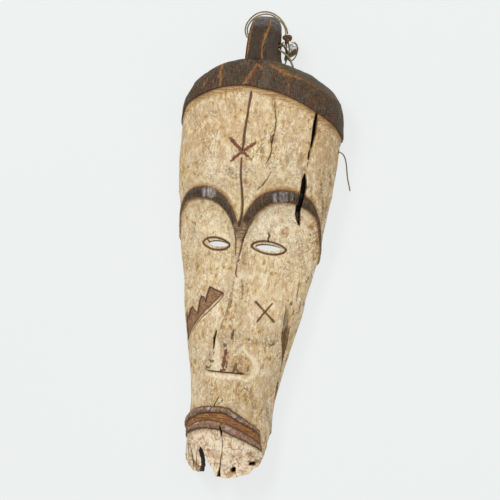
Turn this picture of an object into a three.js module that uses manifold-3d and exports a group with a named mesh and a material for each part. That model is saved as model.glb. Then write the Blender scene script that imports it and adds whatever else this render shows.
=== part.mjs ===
// A tall carved wooden face mask with a dark cap band, a pierced hanging tenon and its fibre cords.
// It lies face up on its rim. Millimetres; x to the viewer's right, y to the crest, z out of the face.
// The rim lies on z = 0, and the origin is under the middle of the carving's box.
import * as THREE from "three";
import { mergeVertices } from "three/addons/utils/BufferGeometryUtils.js";
import Module from "manifold-3d";

const wasm = await Module();
wasm.setup();

// Driving sizes of the shell. A table gives a value at heights y, and curve() runs smoothly through it.
const CHIN_Y = -274.5;
const CREST_Y = 274.5;
const HALF_WIDTH = [
  [-275, 48.5], [-245, 50.5], [-215, 50.6], [-184, 50.2], [-150, 55.6], [-113, 64.5], [-77, 73],
  [-42, 78.1], [-5, 86.4], [30, 89.5], [65, 94.3], [100, 97.1], [135, 97.4], [165, 95.4],
];
const CROWN_HEIGHT = [
  [-275, 44.7], [-240, 50.5], [-205, 56.2], [-165, 61.3], [-150, 62], [-130, 63], [-95, 63.5],
  [-60, 59.5], [-30, 56.5], [0, 60], [30, 66.3], [60, 72.6], [90, 81.9], [120, 82.7], [150, 79.7],
  [175, 78], [218, 76],
];
const WAIST_HEIGHT = [[-275, 18], [-215, 20], [-165, 22], [-90, 25], [0, 27], [60, 29], [120, 30], [218, 30]];
// How square the front of a section is: 2 is an ellipse and more is fuller at the corners.
const SQUARENESS = [[-275, 2.3], [-165, 2.1], [-90, 1.9], [0, 1.75], [40, 1.95], [60, 2.2], [120, 2.3],
  [160, 2.6], [190, 3.2], [218, 3.8]];
const RIM_SHARE = 0.885; // the rim's half width against the widest half width of its section
const DOME_START = 156; // above this the skull closes in plan like half an ellipse
const DOME_DEPTH = 62;
const FRONT_WALL = 15;
const SIDE_WALL = 11;

// Nose: a low ridge that widens into two wings and ends in a step above the muzzle.
const NOSE_END = -151;
const NOSE_HALF = [[-151, 25], [-140, 21], [-120, 13], [-95, 8], [-50, 4.5], [-10, 3.5], [30, 4]];
const NOSE_LIFT = [[-151, 5.5], [-130, 7], [-95, 8], [-60, 4], [-30, 2], [0, 3], [26, 0]];

// The eye hollows sink under the brows and run out over the cheeks.
const EYE_RECESS = 4.5;
const FACE_SHIFT = 2; // the brows and eyes sit a little to the viewer's right of the nose line
const EYE_OFFSET = 33.7;
const EYE_OPENING = { half: 15.5, rise: 3.9 };
const EYE_BEVEL = { half: 19.5, rise: 7.2 };

// Brow arch, as distance from the face's middle, with the height of its lower and upper edge.
const BROW_LOWER = [[-4, 6], [8, 17], [13, 28], [21, 38.5], [33, 47.5], [47, 52], [60, 52.3], [71, 49.5],
  [82, 41.5], [89, 34], [93.5, 19], [96, 4]];
const BROW_UPPER = [[-3, 26], [2, 32], [9, 43], [20, 56], [33, 64.2], [48, 67.6], [61, 67], [74, 62.6],
  [85, 54], [92.5, 43], [97.5, 26], [100, 6]];
const BROW_LIFT = 4;

// Mouth: edges of the two lips, as distance along the skin and height.
const LIP_TOP = [[-58, -213], [-42, -200], [-28, -195], [-5, -193], [10, -194.3], [22, -200], [34, -206.3],
  [46, -213.5], [51, -217]];
const LIP_TOP_EDGE = [[-58, -218], [-41, -204.4], [-25, -201], [-5, -200], [11, -203], [21, -207.6],
  [34, -214], [46, -221], [51, -224]];
const LIP_LOW_EDGE = [[-58, -223], [-43, -215], [-28, -211.2], [-2, -210.2], [11.5, -212.7],
  [23, -217.8], [35, -223.5], [47, -230], [51, -232.5]];
const LIP_LOW = [[-58, -229.5], [-38, -221.3], [-25, -218.8], [-5, -218.6], [14, -221.9], [24, -227],
  [36, -231.2], [47, -236], [51, -238]];
const LIP_LIFT = 5.5;

// Cap band round the top of the head, and the tenon that carries the hanging cord.
const CAP_LIFT = 3.6;
const CAP_EDGE = [[0, 187.5], [33, 182], [57, 174], [69, 169], [77, 163], [88.5, 155.5], [94.5, 150],
  [110, 147]];
const CAP_SIDE_DROP = [[-2, 11], [12, 8], [30, 3.5], [46, 0], [110, 0]];
const TENON = [ // height, middle, width, back and front of each section
  [205, -1.5, 29, 10, 70], [214, -1.8, 28.5, 5, 76], [222, -2.2, 25.8, 8, 79], [233, -2.5, 24.6, 15, 79.5],
  [246, -2.5, 26, 22, 76.5], [258, -2, 28.5, 29, 71.5], [267, -1.3, 28, 33.5, 67.5],
  [272, -1.5, 25.5, 37, 63.5], [CREST_Y, -1.5, 19.5, 41, 59],
];
const CORD_HOLE = { y: 245, z: 32, radius: 4 };

// Cracks and damage, as places on the skin with the width there.
const BROW_CRACK = [[75.4, 86, 2], [77, 77, 5.2], [74, 66, 5], [70, 55, 5], [68.3, 45, 4.5], [71.3, 29, 1.5]];
const CAP_CRACK = [[79.6, 166, 4.2], [80.7, 138, 4], [80.1, 124.7, 3.4], [78.4, 105, 1.6]];
const SIDE_GOUGE = [[67.5, -71, 3], [68, -84, 8], [71.3, -101, 8.5], [73, -118, 7], [73.7, -134, 2.5]];
const CHIN_OUTLINE = [
  [-62, -238], [-51, -240], [-49.5, -257], [-46, -260], [-43, -265], [-36, -268], [-28, -272.5], [-21, -271],
  [-12, -271], [-1, -273.2], [5, -272.6], [13, CHIN_Y], [21, -273.4], [27, -272], [33, -270.5], [37, -266.5],
  [42.5, -260], [48, -255], [50.5, -246], [53, -237], [62, -234],
];
const CHIN_NOTCH = [
  [-24.5, -240.5], [-20.5, -243.7], [-14.5, -255.4], [-5.6, -265.7], [-0.8, -276], [-2, -290],
  [-24, -290], [-23, -272], [-21, -262], [-22.5, -254], [-25.5, -246],
];
const CHIN_SPLIT = [[3.8, -233, 0.9], [3.4, -250, 1.9], [2.6, -263, 2.4], [2.1, -274, 4.5], [2.1, -275, 4.6]];

// Holes for the fibre fringe along each side of the rim.
const FRINGE_HOLES = [123, 95, 62, 28, -1, -28, -60, -94, -128, -159];
const FRINGE_RADIUS = 2;

// Fibre cords. The hanging cord runs twice through the tenon's hole and lies on the ground round its end.
const CORD = 1.8;
const KNOT = { x: 19.8, y: 253.8, z: 33, radius: 5.5 };
const HANGING_CORD = [
  [15.2, 249.5, 31.8], [10.5, 245.1, 30.6], [0, 245, 30.2], [-10, 244.9, 30.2], [-15.5, 245.2, 30.4],
  [-23, 248.2, 25.4], [-31.6, 252.2, 14.6], [-38.5, 257, 5], [-43, 263, 1.2], [-44.4, 270, 1], [-41.6, 277.4, 1], [-36.6, 283.2, 1],
  [-30, 287, 1], [-23, 288.5, 1], [-16, 287.9, 1], [-10.2, 285.4, 1], [-4.6, 281.8, 1], [0.3, 277.6, 1],
  [4, 272.6, 2], [7, 266.5, 5.5], [9.4, 259.6, 10], [11.2, 252.6, 14.6], [13.3, 247.6, 20.4],
  [15.1, 245.4, 26.2], [14.5, 244.7, 31.2], [10.5, 245, 33.9], [0, 245, 34], [-10, 245, 34],
  [-15.5, 245.4, 34], [-25, 249.6, 29.6], [-35.8, 255, 18.2], [-43.5, 261.2, 6], [-47, 268, 1.1], [-46, 275, 1],
  [-42.4, 281.3, 1], [-37, 286.8, 1], [-30.6, 290.2, 1], [-23.4, 291.3, 1], [-16, 290.4, 1.2],
  [-9.4, 287.6, 2.1], [-3.7, 284, 2.8], [1.4, 279.2, 3.2], [6, 273.9, 7], [11.2, 268.6, 15],
  [15.8, 263.2, 24], [18.7, 260.4, 31],
];
const CURLED_TAIL = [
  [20.2, 248.4, 29.2], [19.3, 246.2, 22.4], [17.4, 244.2, 15], [15, 242, 8.4], [12.9, 239.6, 3.8],
  [11.9, 236.9, 1.6], [12.8, 234.1, 1], [15.4, 232.9, 1], [18.4, 234.1, 1], [20.8, 237, 1],
  [22.4, 240.8, 1], [23.2, 244.8, 1], [23.4, 249.2, 1],
];
const SHORT_TAIL = [
  [17.2, 249.3, 28.4], [16.2, 246.8, 22.4], [13.8, 243.8, 15.5], [11, 240.8, 8.5], [9.8, 237.2, 3],
  [9.8, 233, 1.1], [9.7, 229.4, 1], [9.2, 226, 1],
];
const FRINGE_CORD = [
  [84, 123, 22.8], [88.5, 123, 23.9], [93, 123, 24], [98, 123, 24], [101.6, 121.4, 21.5],
  [103.2, 116.8, 14.5], [103.2, 110, 7], [103.3, 102.5, 2], [104.6, 95.5, 1], [107, 88, 1],
  [109.4, 80.5, 1],
];
const TAIL = 1.6;
const FRINGE_STUB = { y: 62, z: 24, from: -98.6, to: -88, radius: 1.3 };

const clamp01 = (t) => Math.min(1, Math.max(0, t));
const ease = (t) => clamp01(t) ** 2 * (3 - 2 * clamp01(t));

// A smooth function through a table's points, held level past its ends.
function curve(points) {
  const last = points.length - 1;
  const slopes = points.slice(1).map((p, i) => (p[1] - points[i][1]) / (p[0] - points[i][0]));
  const tangent = points.map((p, i) => {
    if (i === 0) return slopes[0];
    if (i === last) return slopes[last - 1];
    const before = p[0] - points[i - 1][0];
    const after = points[i + 1][0] - p[0];
    return (after * slopes[i - 1] + before * slopes[i]) / (after + before);
  });
  return (at) => {
    const x = Math.min(points[last][0], Math.max(points[0][0], at));
    let i = 0;
    while (i < last - 1 && x > points[i + 1][0]) i += 1;
    const [x0, y0] = points[i];
    const [x1, y1] = points[i + 1];
    const h = x1 - x0;
    const t = (x - x0) / h;
    return (2 * t ** 3 - 3 * t ** 2 + 1) * y0 + (t ** 3 - 2 * t ** 2 + t) * h * tangent[i]
      + (3 * t ** 2 - 2 * t ** 3) * y1 + (t ** 3 - t ** 2) * h * tangent[i + 1];
  };
}

const widestAt = curve(HALF_WIDTH);
const crownAt = curve(CROWN_HEIGHT);
const waistAt = curve(WAIST_HEIGHT);
const squareAt = curve(SQUARENESS);
const noseHalfAt = curve(NOSE_HALF);
const noseLiftAt = curve(NOSE_LIFT);
const browLowerAt = curve(BROW_LOWER);
const browUpperAt = curve(BROW_UPPER);

// Half width of the shell, or of its hollow when inset is the side wall.
function halfWidth(y, inset = 0) {
  const straight = widestAt(Math.min(y, 160)) - inset;
  const t = clamp01((y - DOME_START) / (DOME_DEPTH - inset * 1.45));
  return straight * Math.sqrt(Math.max(0.004, 1 - t * t));
}

// One section of the shell as points from the crown line to the right rim, with the running length.
function section(y, inset = 0) {
  const widest = halfWidth(y, inset);
  const waist = waistAt(y);
  const crown = Math.max(waist + 4, crownAt(y) - (inset ? FRONT_WALL : 0));
  const power = 2 / squareAt(y);
  const rim = inset ? Math.min(widest, RIM_SHARE * halfWidth(y) - 10) : RIM_SHARE * widest;
  const rimX = Math.max(rim, widest * 0.5);
  const points = [];
  for (let i = 0; i <= 72; i += 1) {
    const angle = (i / 72) * Math.PI / 2;
    const rise = Math.max(0, Math.cos(angle)) ** power;
    points.push([widest * Math.sin(angle) ** power, waist + (crown - waist) * rise]);
  }
  for (let i = 1; i <= 16; i += 1) {
    const t = i / 16;
    points.push([widest - (widest - rimX) * t * t, waist * (1 - t)]);
  }
  const along = [0];
  for (let i = 1; i < points.length; i += 1) {
    const [dx, dz] = [points[i][0] - points[i - 1][0], points[i][1] - points[i - 1][1]];
    along.push(along[i - 1] + Math.hypot(dx, dz));
  }
  return { points, along, length: along[along.length - 1] };
}

const sections = new Map();
function sectionAt(y, inset) {
  const key = `${y.toFixed(3)} ${inset}`;
  if (!sections.has(key)) sections.set(key, section(y, inset));
  return sections.get(key);
}

// The bare shell's point at distance s along the skin from the crown line.
function shellPoint(s, y, inset = 0) {
  const { points, along, length } = sectionAt(y, inset);
  const wanted = Math.min(Math.abs(s), length);
  let i = 1;
  while (i < along.length - 1 && along[i] < wanted) i += 1;
  const t = clamp01((wanted - along[i - 1]) / Math.max(1e-9, along[i] - along[i - 1]));
  const x = points[i - 1][0] * (1 - t) + points[i][0] * t;
  const z = points[i - 1][1] * (1 - t) + points[i][1] * t;
  return new THREE.Vector3(s < 0 ? -x : x, y, z);
}

// Height of the carving over the bare shell: the eye hollows sink and the nose rises.
function relief(s, y) {
  const side = Math.abs(s - FACE_SHIFT * ease(Math.abs(s) / 20));
  const fromNose = Math.abs(s) - noseHalfAt(y);
  const under = ease((browLowerAt(Math.max(side, 5)) + 3 - y) / 9) * (1 - ease((-55 - y) / 70));
  const across = ease(fromNose / 11) * (1 - ease((side - 62) / 34));
  const ridge = noseLiftAt(y) * (1 - ease((fromNose + 2.5) / 7)) * ease((30 - y) / 12);
  const nose = y < NOSE_END - 0.5 ? 0 : ridge;
  return nose - EYE_RECESS * under * across;
}

// A point on the carved skin, raised by lift along the skin's outward direction.
function onSkin(s, y, lift = 0) {
  const rim = sectionAt(y, 0).length;
  const held = Math.max(-rim, Math.min(rim, s));
  const here = shellPoint(held, y);
  const step = 1.5;
  const acrossSkin = shellPoint(Math.min(rim, held + step), y)
    .sub(shellPoint(Math.max(-rim, held - step), y));
  const share = held / rim;
  const up = Math.min(217, y + step);
  const down = Math.max(-275, y - step);
  const alongSkin = shellPoint(share * sectionAt(up, 0).length, up)
    .sub(shellPoint(share * sectionAt(down, 0).length, down));
  const outward = acrossSkin.cross(alongSkin).normalize();
  const point = here.addScaledVector(outward, relief(held, y) + lift);
  point.z = Math.max(0, point.z);
  return point;
}

function manifoldOf(vertices, triangles) {
  const vertProperties = new Float32Array(vertices.flatMap((v) => [v.x, v.y, v.z]));
  const triVerts = new Uint32Array(triangles.flat());
  return new wasm.Manifold(new wasm.Mesh({ numProp: 3, vertProperties, triVerts }));
}

// A closed solid through rings of equal length, with a fan over each end.
function loft(rings) {
  const count = rings[0].length;
  const vertices = rings.flat();
  const triangles = [];
  for (let r = 0; r + 1 < rings.length; r += 1) {
    for (let i = 0; i < count; i += 1) {
      const next = (i + 1) % count;
      const a = r * count + i;
      const b = r * count + next;
      triangles.push([a, b, b + count], [a, b + count, a + count]);
    }
  }
  [0, rings.length - 1].forEach((r) => {
    const middle = rings[r].reduce((sum, p) => sum.add(p), new THREE.Vector3()).divideScalar(count);
    vertices.push(middle);
    for (let i = 0; i < count; i += 1) {
      const edge = [r * count + i, r * count + (i + 1) % count];
      if (r === 0) edge.reverse();
      triangles.push([...edge, vertices.length - 1]);
    }
  });
  const made = manifoldOf(vertices, triangles);
  return made.volume() < 0 ? manifoldOf(vertices, triangles.map((t) => [...t].reverse())) : made;
}

// A straight prism of a flat outline, along z unless the outline is turned.
function prism(outline, low, high) {
  const shape = new THREE.Shape(outline.map((p) => new THREE.Vector2(p[0], p[1])));
  return fromGeometry(new THREE.ExtrudeGeometry(shape, { depth: high - low, bevelEnabled: false })
    .translate(0, 0, low));
}

function fromGeometry(geometry) {
  geometry.deleteAttribute("normal");
  geometry.deleteAttribute("uv");
  const merged = mergeVertices(geometry, 1e-4);
  const triVerts = merged.index.array;
  return new wasm.Manifold(new wasm.Mesh({
    numProp: 3,
    vertProperties: new Float32Array(merged.attributes.position.array),
    triVerts: new Uint32Array(triVerts),
  }));
}

function crossHole(x, y, z, length, radius, sides) {
  const pin = new THREE.CylinderGeometry(radius, radius, length, sides);
  pin.rotateZ(Math.PI / 2);
  return fromGeometry(pin.translate(x, y, z));
}

// A raised band between two edges on the skin: low sides, a rounded back and a buried foot.
function skinBand(lowerEdge, upperEdge, from, to, count, lift, crest) {
  const rings = [];
  for (let i = 0; i <= count; i += 1) {
    const s = from + (to - from) * (i / count);
    const low = lowerEdge(s);
    const high = upperEdge(s);
    const place = (share, height) => onSkin(s, low + (high - low) * share, height);
    rings.push([place(0, -3), place(0, lift * 0.7), place(0.25, lift), place(0.6, lift + crest),
      place(1, lift * 0.8), place(1, -3)]);
  }
  return loft(rings);
}

// The brow is followed by the steps along its arch, because its outer end turns straight down.
function brow(side) {
  const rings = [];
  const count = 16;
  for (let i = 0; i <= count; i += 1) {
    const share = i / count;
    const at = share * (BROW_LOWER.length - 1);
    const k = Math.min(BROW_LOWER.length - 2, Math.floor(at));
    const t = at - k;
    const mix = (table, column) => table[k][column] * (1 - t) + table[k + 1][column] * t;
    const low = [mix(BROW_LOWER, 0), mix(BROW_LOWER, 1)];
    const high = [mix(BROW_UPPER, 0), mix(BROW_UPPER, 1)];
    const thin = 1 - 0.45 * ease((share - 0.75) / 0.25);
    const place = (across, height) => onSkin(
      FACE_SHIFT * ease(share * 4) + side * (low[0] + (high[0] - low[0]) * across),
      low[1] + (high[1] - low[1]) * across,
      height * thin,
    );
    rings.push([place(0, -3), place(0, BROW_LIFT * 0.8), place(0.3, BROW_LIFT), place(0.7, BROW_LIFT),
      place(1, BROW_LIFT * 0.6), place(1, -3)]);
  }
  return loft(rings);
}

// A groove with sloping sides that follows places on the skin.
function groove(places, depth) {
  return loft(places.map(([s, y, width]) => [
    onSkin(s - width * 0.65, y, 3), onSkin(s + width * 0.65, y, 3), onSkin(s, y, -depth),
  ]));
}

function shellSolid() {
  const rows = [];
  for (let y = -272; y < -156; y += 11) rows.push(y);
  rows.push(-156, NOSE_END - 1.2, NOSE_END + 0.2);
  for (let y = -140; y < 20; y += 12) rows.push(y);
  for (let y = 22; y < 66; y += 7) rows.push(y);
  for (let y = 70; y < DOME_START; y += 14) rows.push(y);
  for (let i = 0; i <= 4; i += 1) rows.push(DOME_START + DOME_DEPTH * Math.sin(i / 4 * Math.PI / 2) * 0.997);
  rows[0] = -275;
  const half = 16;
  const rings = rows.map((y) => {
    const rim = sectionAt(y, 0).length;
    const ring = [];
    for (let i = -half; i <= half; i += 1) {
      const share = i / half;
      ring.push(onSkin(rim * share * (0.62 + 0.38 * share * share), y));
    }
    return ring;
  });
  return loft(rings);
}

function hollowSolid() {
  const rows = [-290, -274, -240, -200, -160, -120, -80, -40, 0, 40, 80, 120, 156, 172, 184, 193, 200.5];
  const rings = rows.map((y) => {
    const rim = sectionAt(y, SIDE_WALL).length;
    const ring = [];
    for (let i = -7; i <= 7; i += 1) ring.push(shellPoint(rim * (i / 7), y, SIDE_WALL));
    ring.push(ring[14].clone().setZ(-5));
    ring.push(ring[0].clone().setZ(-5));
    return ring;
  });
  return loft(rings);
}

function capSolid() {
  const rings = [];
  for (let i = 0; i <= 10; i += 1) {
    const y = i < 3 ? 118 + i * 12.7 : DOME_START + DOME_DEPTH * Math.sin((i - 3) / 7 * Math.PI / 2) * 0.997;
    const rim = sectionAt(y, 0).length;
    const ring = [];
    for (let k = -14; k <= 14; k += 1) ring.push(onSkin(rim * (k / 14), y, CAP_LIFT));
    rings.push(ring);
  }
  const edge = curve(CAP_EDGE);
  const drop = curve(CAP_SIDE_DROP);
  const cutter = [];
  [-2, 12, 24, 36, 50, 110].forEach((z) => {
    const ring = [];
    for (let k = -16; k <= 16; k += 1) {
      const x = 7.5 * k;
      ring.push(new THREE.Vector3(x, edge(Math.abs(x)) - drop(z), z));
    }
    ring.push(new THREE.Vector3(120, 260, z), new THREE.Vector3(-120, 260, z));
    cutter.push(ring);
  });
  return loft(rings).intersect(loft(cutter));
}

function tenonSolid() {
  const rings = TENON.map(([y, middle, width, back, front]) => {
    const half = width / 2;
    const cut = Math.min(3.5, width / 4);
    const corners = [[-half, back + cut], [-half + cut, back], [half - cut, back], [half, back + cut],
      [half, front - cut], [half - cut, front], [-half + cut, front], [-half, front - cut]];
    return corners.map(([x, z]) => new THREE.Vector3(middle + x, y, z));
  });
  return loft(rings).subtract(crossHole(0, CORD_HOLE.y, CORD_HOLE.z, 60, CORD_HOLE.radius, 12));
}

function eyeCut(side) {
  const x = FACE_SHIFT + side * EYE_OFFSET;
  const surface = onSkin(x, 0).z;
  const levels = [[8, 1.15, EYE_BEVEL], [2, 1, EYE_BEVEL], [-5, 1, EYE_OPENING], [-40, 1.05, EYE_OPENING]];
  const rings = levels.map(([lift, grow, size]) => {
    const ring = [];
    for (let i = 0; i < 14; i += 1) {
      const angle = i / 14 * Math.PI * 2;
      const px = x + size.half * grow * Math.cos(angle);
      const lean = side * (x - px) * 0.28;
      const rise = size.rise * grow * Math.sin(angle) * Math.abs(Math.sin(angle)) ** 0.3;
      ring.push(new THREE.Vector3(px, rise - 0.7, surface + lift + (lift > -30 ? lean : 0)));
    }
    return ring;
  });
  return loft(rings);
}

function chinCut() {
  const outline = [...CHIN_OUTLINE, [80, -234], [80, -300], [-80, -300], [-80, -238]];
  return prism(outline, -10, 90).add(prism(CHIN_NOTCH, -10, 90)).add(groove(CHIN_SPLIT, 9));
}

function carving() {
  const lipTop = curve(LIP_TOP);
  const lipTopEdge = curve(LIP_TOP_EDGE);
  const lipLowEdge = curve(LIP_LOW_EDGE);
  const lipLow = curve(LIP_LOW);
  let wood = shellSolid().add(capSolid()).add(tenonSolid());
  wood = wood.add(brow(-1)).add(brow(1));
  wood = wood.add(skinBand(lipTopEdge, lipTop, -58, 51, 12, LIP_LIFT, 1));
  wood = wood.add(skinBand(lipLowEdge, lipTopEdge, -58, 50, 10, 1.5, 0));
  wood = wood.add(skinBand(lipLow, lipLowEdge, -58, 51, 12, LIP_LIFT - 0.5, 0.5));
  wood = wood.subtract(hollowSolid()).subtract(eyeCut(-1)).subtract(eyeCut(1));
  wood = wood.subtract(groove(BROW_CRACK, 9)).subtract(groove(CAP_CRACK, 9));
  wood = wood.subtract(groove(SIDE_GOUGE, 3.5));
  wood = wood.subtract(chinCut());
  FRINGE_HOLES.forEach((y) => {
    [-1, 1].forEach((side) => {
      const z = y > 40 ? 24 : 20;
      wood = wood.subtract(crossHole(side * (halfWidth(y) - 5), y, z, 34, FRINGE_RADIUS, 6));
    });
  });
  return wood.decompose().reduce((a, b) => (b.volume() > a.volume() ? b : a));
}

// A round cord along hand-chosen points.
function cord(points, diameter, stepCount) {
  const path = new THREE.CatmullRomCurve3(points.map((p) => new THREE.Vector3(...p)), false, "centripetal");
  const shape = new THREE.Shape();
  for (let i = 0; i < 8; i += 1) {
    const angle = i / 8 * Math.PI * 2;
    shape[i ? "lineTo" : "moveTo"](diameter / 2 * Math.cos(angle), diameter / 2 * Math.sin(angle));
  }
  shape.closePath();
  return new THREE.ExtrudeGeometry(shape, { steps: stepCount, extrudePath: path });
}

const finish = (color, roughness) => new THREE.MeshStandardMaterial({ color, roughness, metalness: 0 });
const MATERIALS = { wood: finish(0xd8c49a, 0.85), cord: finish(0x8a6a3c, 0.9) };

function addMesh(group, name, geometry, material) {
  const mesh = new THREE.Mesh(geometry, material);
  mesh.name = name;
  group.add(mesh);
}

function geometryOf(solid) {
  const { vertProperties, triVerts, numProp } = solid.getMesh();
  const position = new Float32Array(vertProperties.length / numProp * 3);
  for (let i = 0; i < position.length / 3; i += 1) {
    position.set(vertProperties.subarray(i * numProp, i * numProp + 3), i * 3);
  }
  const geometry = new THREE.BufferGeometry();
  geometry.setAttribute("position", new THREE.BufferAttribute(position, 3));
  geometry.setIndex(new THREE.BufferAttribute(new Uint32Array(triVerts), 1));
  geometry.computeVertexNormals();
  return geometry;
}

const mask = new THREE.Group();
addMesh(mask, "mask", geometryOf(carving()), MATERIALS.wood);
addMesh(mask, "hanging_cord", cord(HANGING_CORD, CORD, 68), MATERIALS.cord);
addMesh(mask, "cord_tail_curl", cord(CURLED_TAIL, TAIL, 15), MATERIALS.cord);
addMesh(mask, "cord_tail_short", cord(SHORT_TAIL, TAIL, 10), MATERIALS.cord);
addMesh(mask, "fringe_cord", cord(FRINGE_CORD, TAIL, 15), MATERIALS.cord);
const knot = new THREE.SphereGeometry(KNOT.radius, 10, 7);
knot.scale(1, 1.05, 0.95);
knot.translate(KNOT.x, KNOT.y, KNOT.z);
addMesh(mask, "cord_knot", knot, MATERIALS.cord);
const stubLength = FRINGE_STUB.to - FRINGE_STUB.from;
const stub = new THREE.CylinderGeometry(FRINGE_STUB.radius, FRINGE_STUB.radius, stubLength, 8);
stub.rotateZ(Math.PI / 2);
stub.translate(FRINGE_STUB.from + stubLength / 2, FRINGE_STUB.y, FRINGE_STUB.z);
addMesh(mask, "fringe_stub", stub, MATERIALS.cord);
export default mask;
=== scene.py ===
# %% [markdown]
# # A carved wooden face mask, dressed for a render
# The real object is a tall shield-shaped face, hollowed from one piece of pale wood and covered in clay
# slip. It lies face up on its rim. Its solid comes from the packed CAD model, and this notebook gives it
# a finer skin, paint and fibre cords. Sizes are in millimetres, and one constant turns them into
# Blender's metres.

# %% Load the frame
import math

import bmesh
import bpy
import numpy as np
from mathutils import Matrix, Vector, kdtree


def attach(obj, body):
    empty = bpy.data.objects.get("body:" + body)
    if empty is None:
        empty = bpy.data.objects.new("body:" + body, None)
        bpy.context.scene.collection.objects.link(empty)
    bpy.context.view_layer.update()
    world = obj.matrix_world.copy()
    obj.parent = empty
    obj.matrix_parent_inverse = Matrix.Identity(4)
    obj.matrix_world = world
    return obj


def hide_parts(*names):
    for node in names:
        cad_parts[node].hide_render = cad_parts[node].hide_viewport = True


MM = 0.001
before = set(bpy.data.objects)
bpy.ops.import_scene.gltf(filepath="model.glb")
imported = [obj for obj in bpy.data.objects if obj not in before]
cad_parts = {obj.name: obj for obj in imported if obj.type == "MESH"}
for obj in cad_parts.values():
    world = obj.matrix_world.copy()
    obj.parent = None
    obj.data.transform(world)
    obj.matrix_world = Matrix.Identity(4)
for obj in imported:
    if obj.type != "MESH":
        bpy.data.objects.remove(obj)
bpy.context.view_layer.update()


# %% [markdown]
# ## The camera
# The picture shows the mask from a little to its left and below, turned clockwise in the frame. A long
# lens keeps its two ends at the same scale. The camera looks down on the lying mask along that line, so
# the view is the one the mask would have upright on a wall.

# %% Place the camera
YAW, PITCH, ROLL = math.radians(20), math.radians(5), math.radians(6.7)
VIEW_DISTANCE = 3.035
AIM_SHIFT = -0.0075
LENS, SENSOR, FARTHEST = 181.8, 36, 50
towards = Vector((math.sin(YAW) * math.cos(PITCH), -math.sin(PITCH), math.cos(YAW) * math.cos(PITCH)))
across = Vector((math.cos(YAW), 0, -math.sin(YAW)))
upward = towards.cross(across)
camera_x = across * math.cos(ROLL) + upward * math.sin(ROLL)
camera_y = upward * math.cos(ROLL) - across * math.sin(ROLL)

lens = bpy.data.cameras.new("camera")
lens.lens = LENS
lens.sensor_width = SENSOR
lens.clip_end = FARTHEST
camera = bpy.data.objects.new("camera", lens)
turn = Matrix((camera_x, camera_y, towards)).transposed().to_4x4()
camera.matrix_world = Matrix.Translation(across * AIM_SHIFT + towards * VIEW_DISTANCE) @ turn
bpy.context.scene.collection.objects.link(camera)
bpy.context.scene.camera = camera
print("camera at", [round(v, 3) for v in camera.location], "with a", lens.lens, "mm lens")


# %% [markdown]
# ## Small helpers for materials
# A node material is a graph, and a graph written out node by node is hard to read. These helpers name the
# few steps that every finish uses: read a mask, make a soft step, mix two colours, make a noise. Each
# returns an output socket, so a finish reads like a sum.

# %% Material helpers
def srgb(red, green, blue):
    """A colour as read on a screen, in the linear values that the shader wants."""
    def linear(v):
        v = v / 255
        return v / 12.92 if v <= 0.04045 else ((v + 0.055) / 1.055) ** 2.4
    return (linear(red), linear(green), linear(blue), 1.0)


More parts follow.
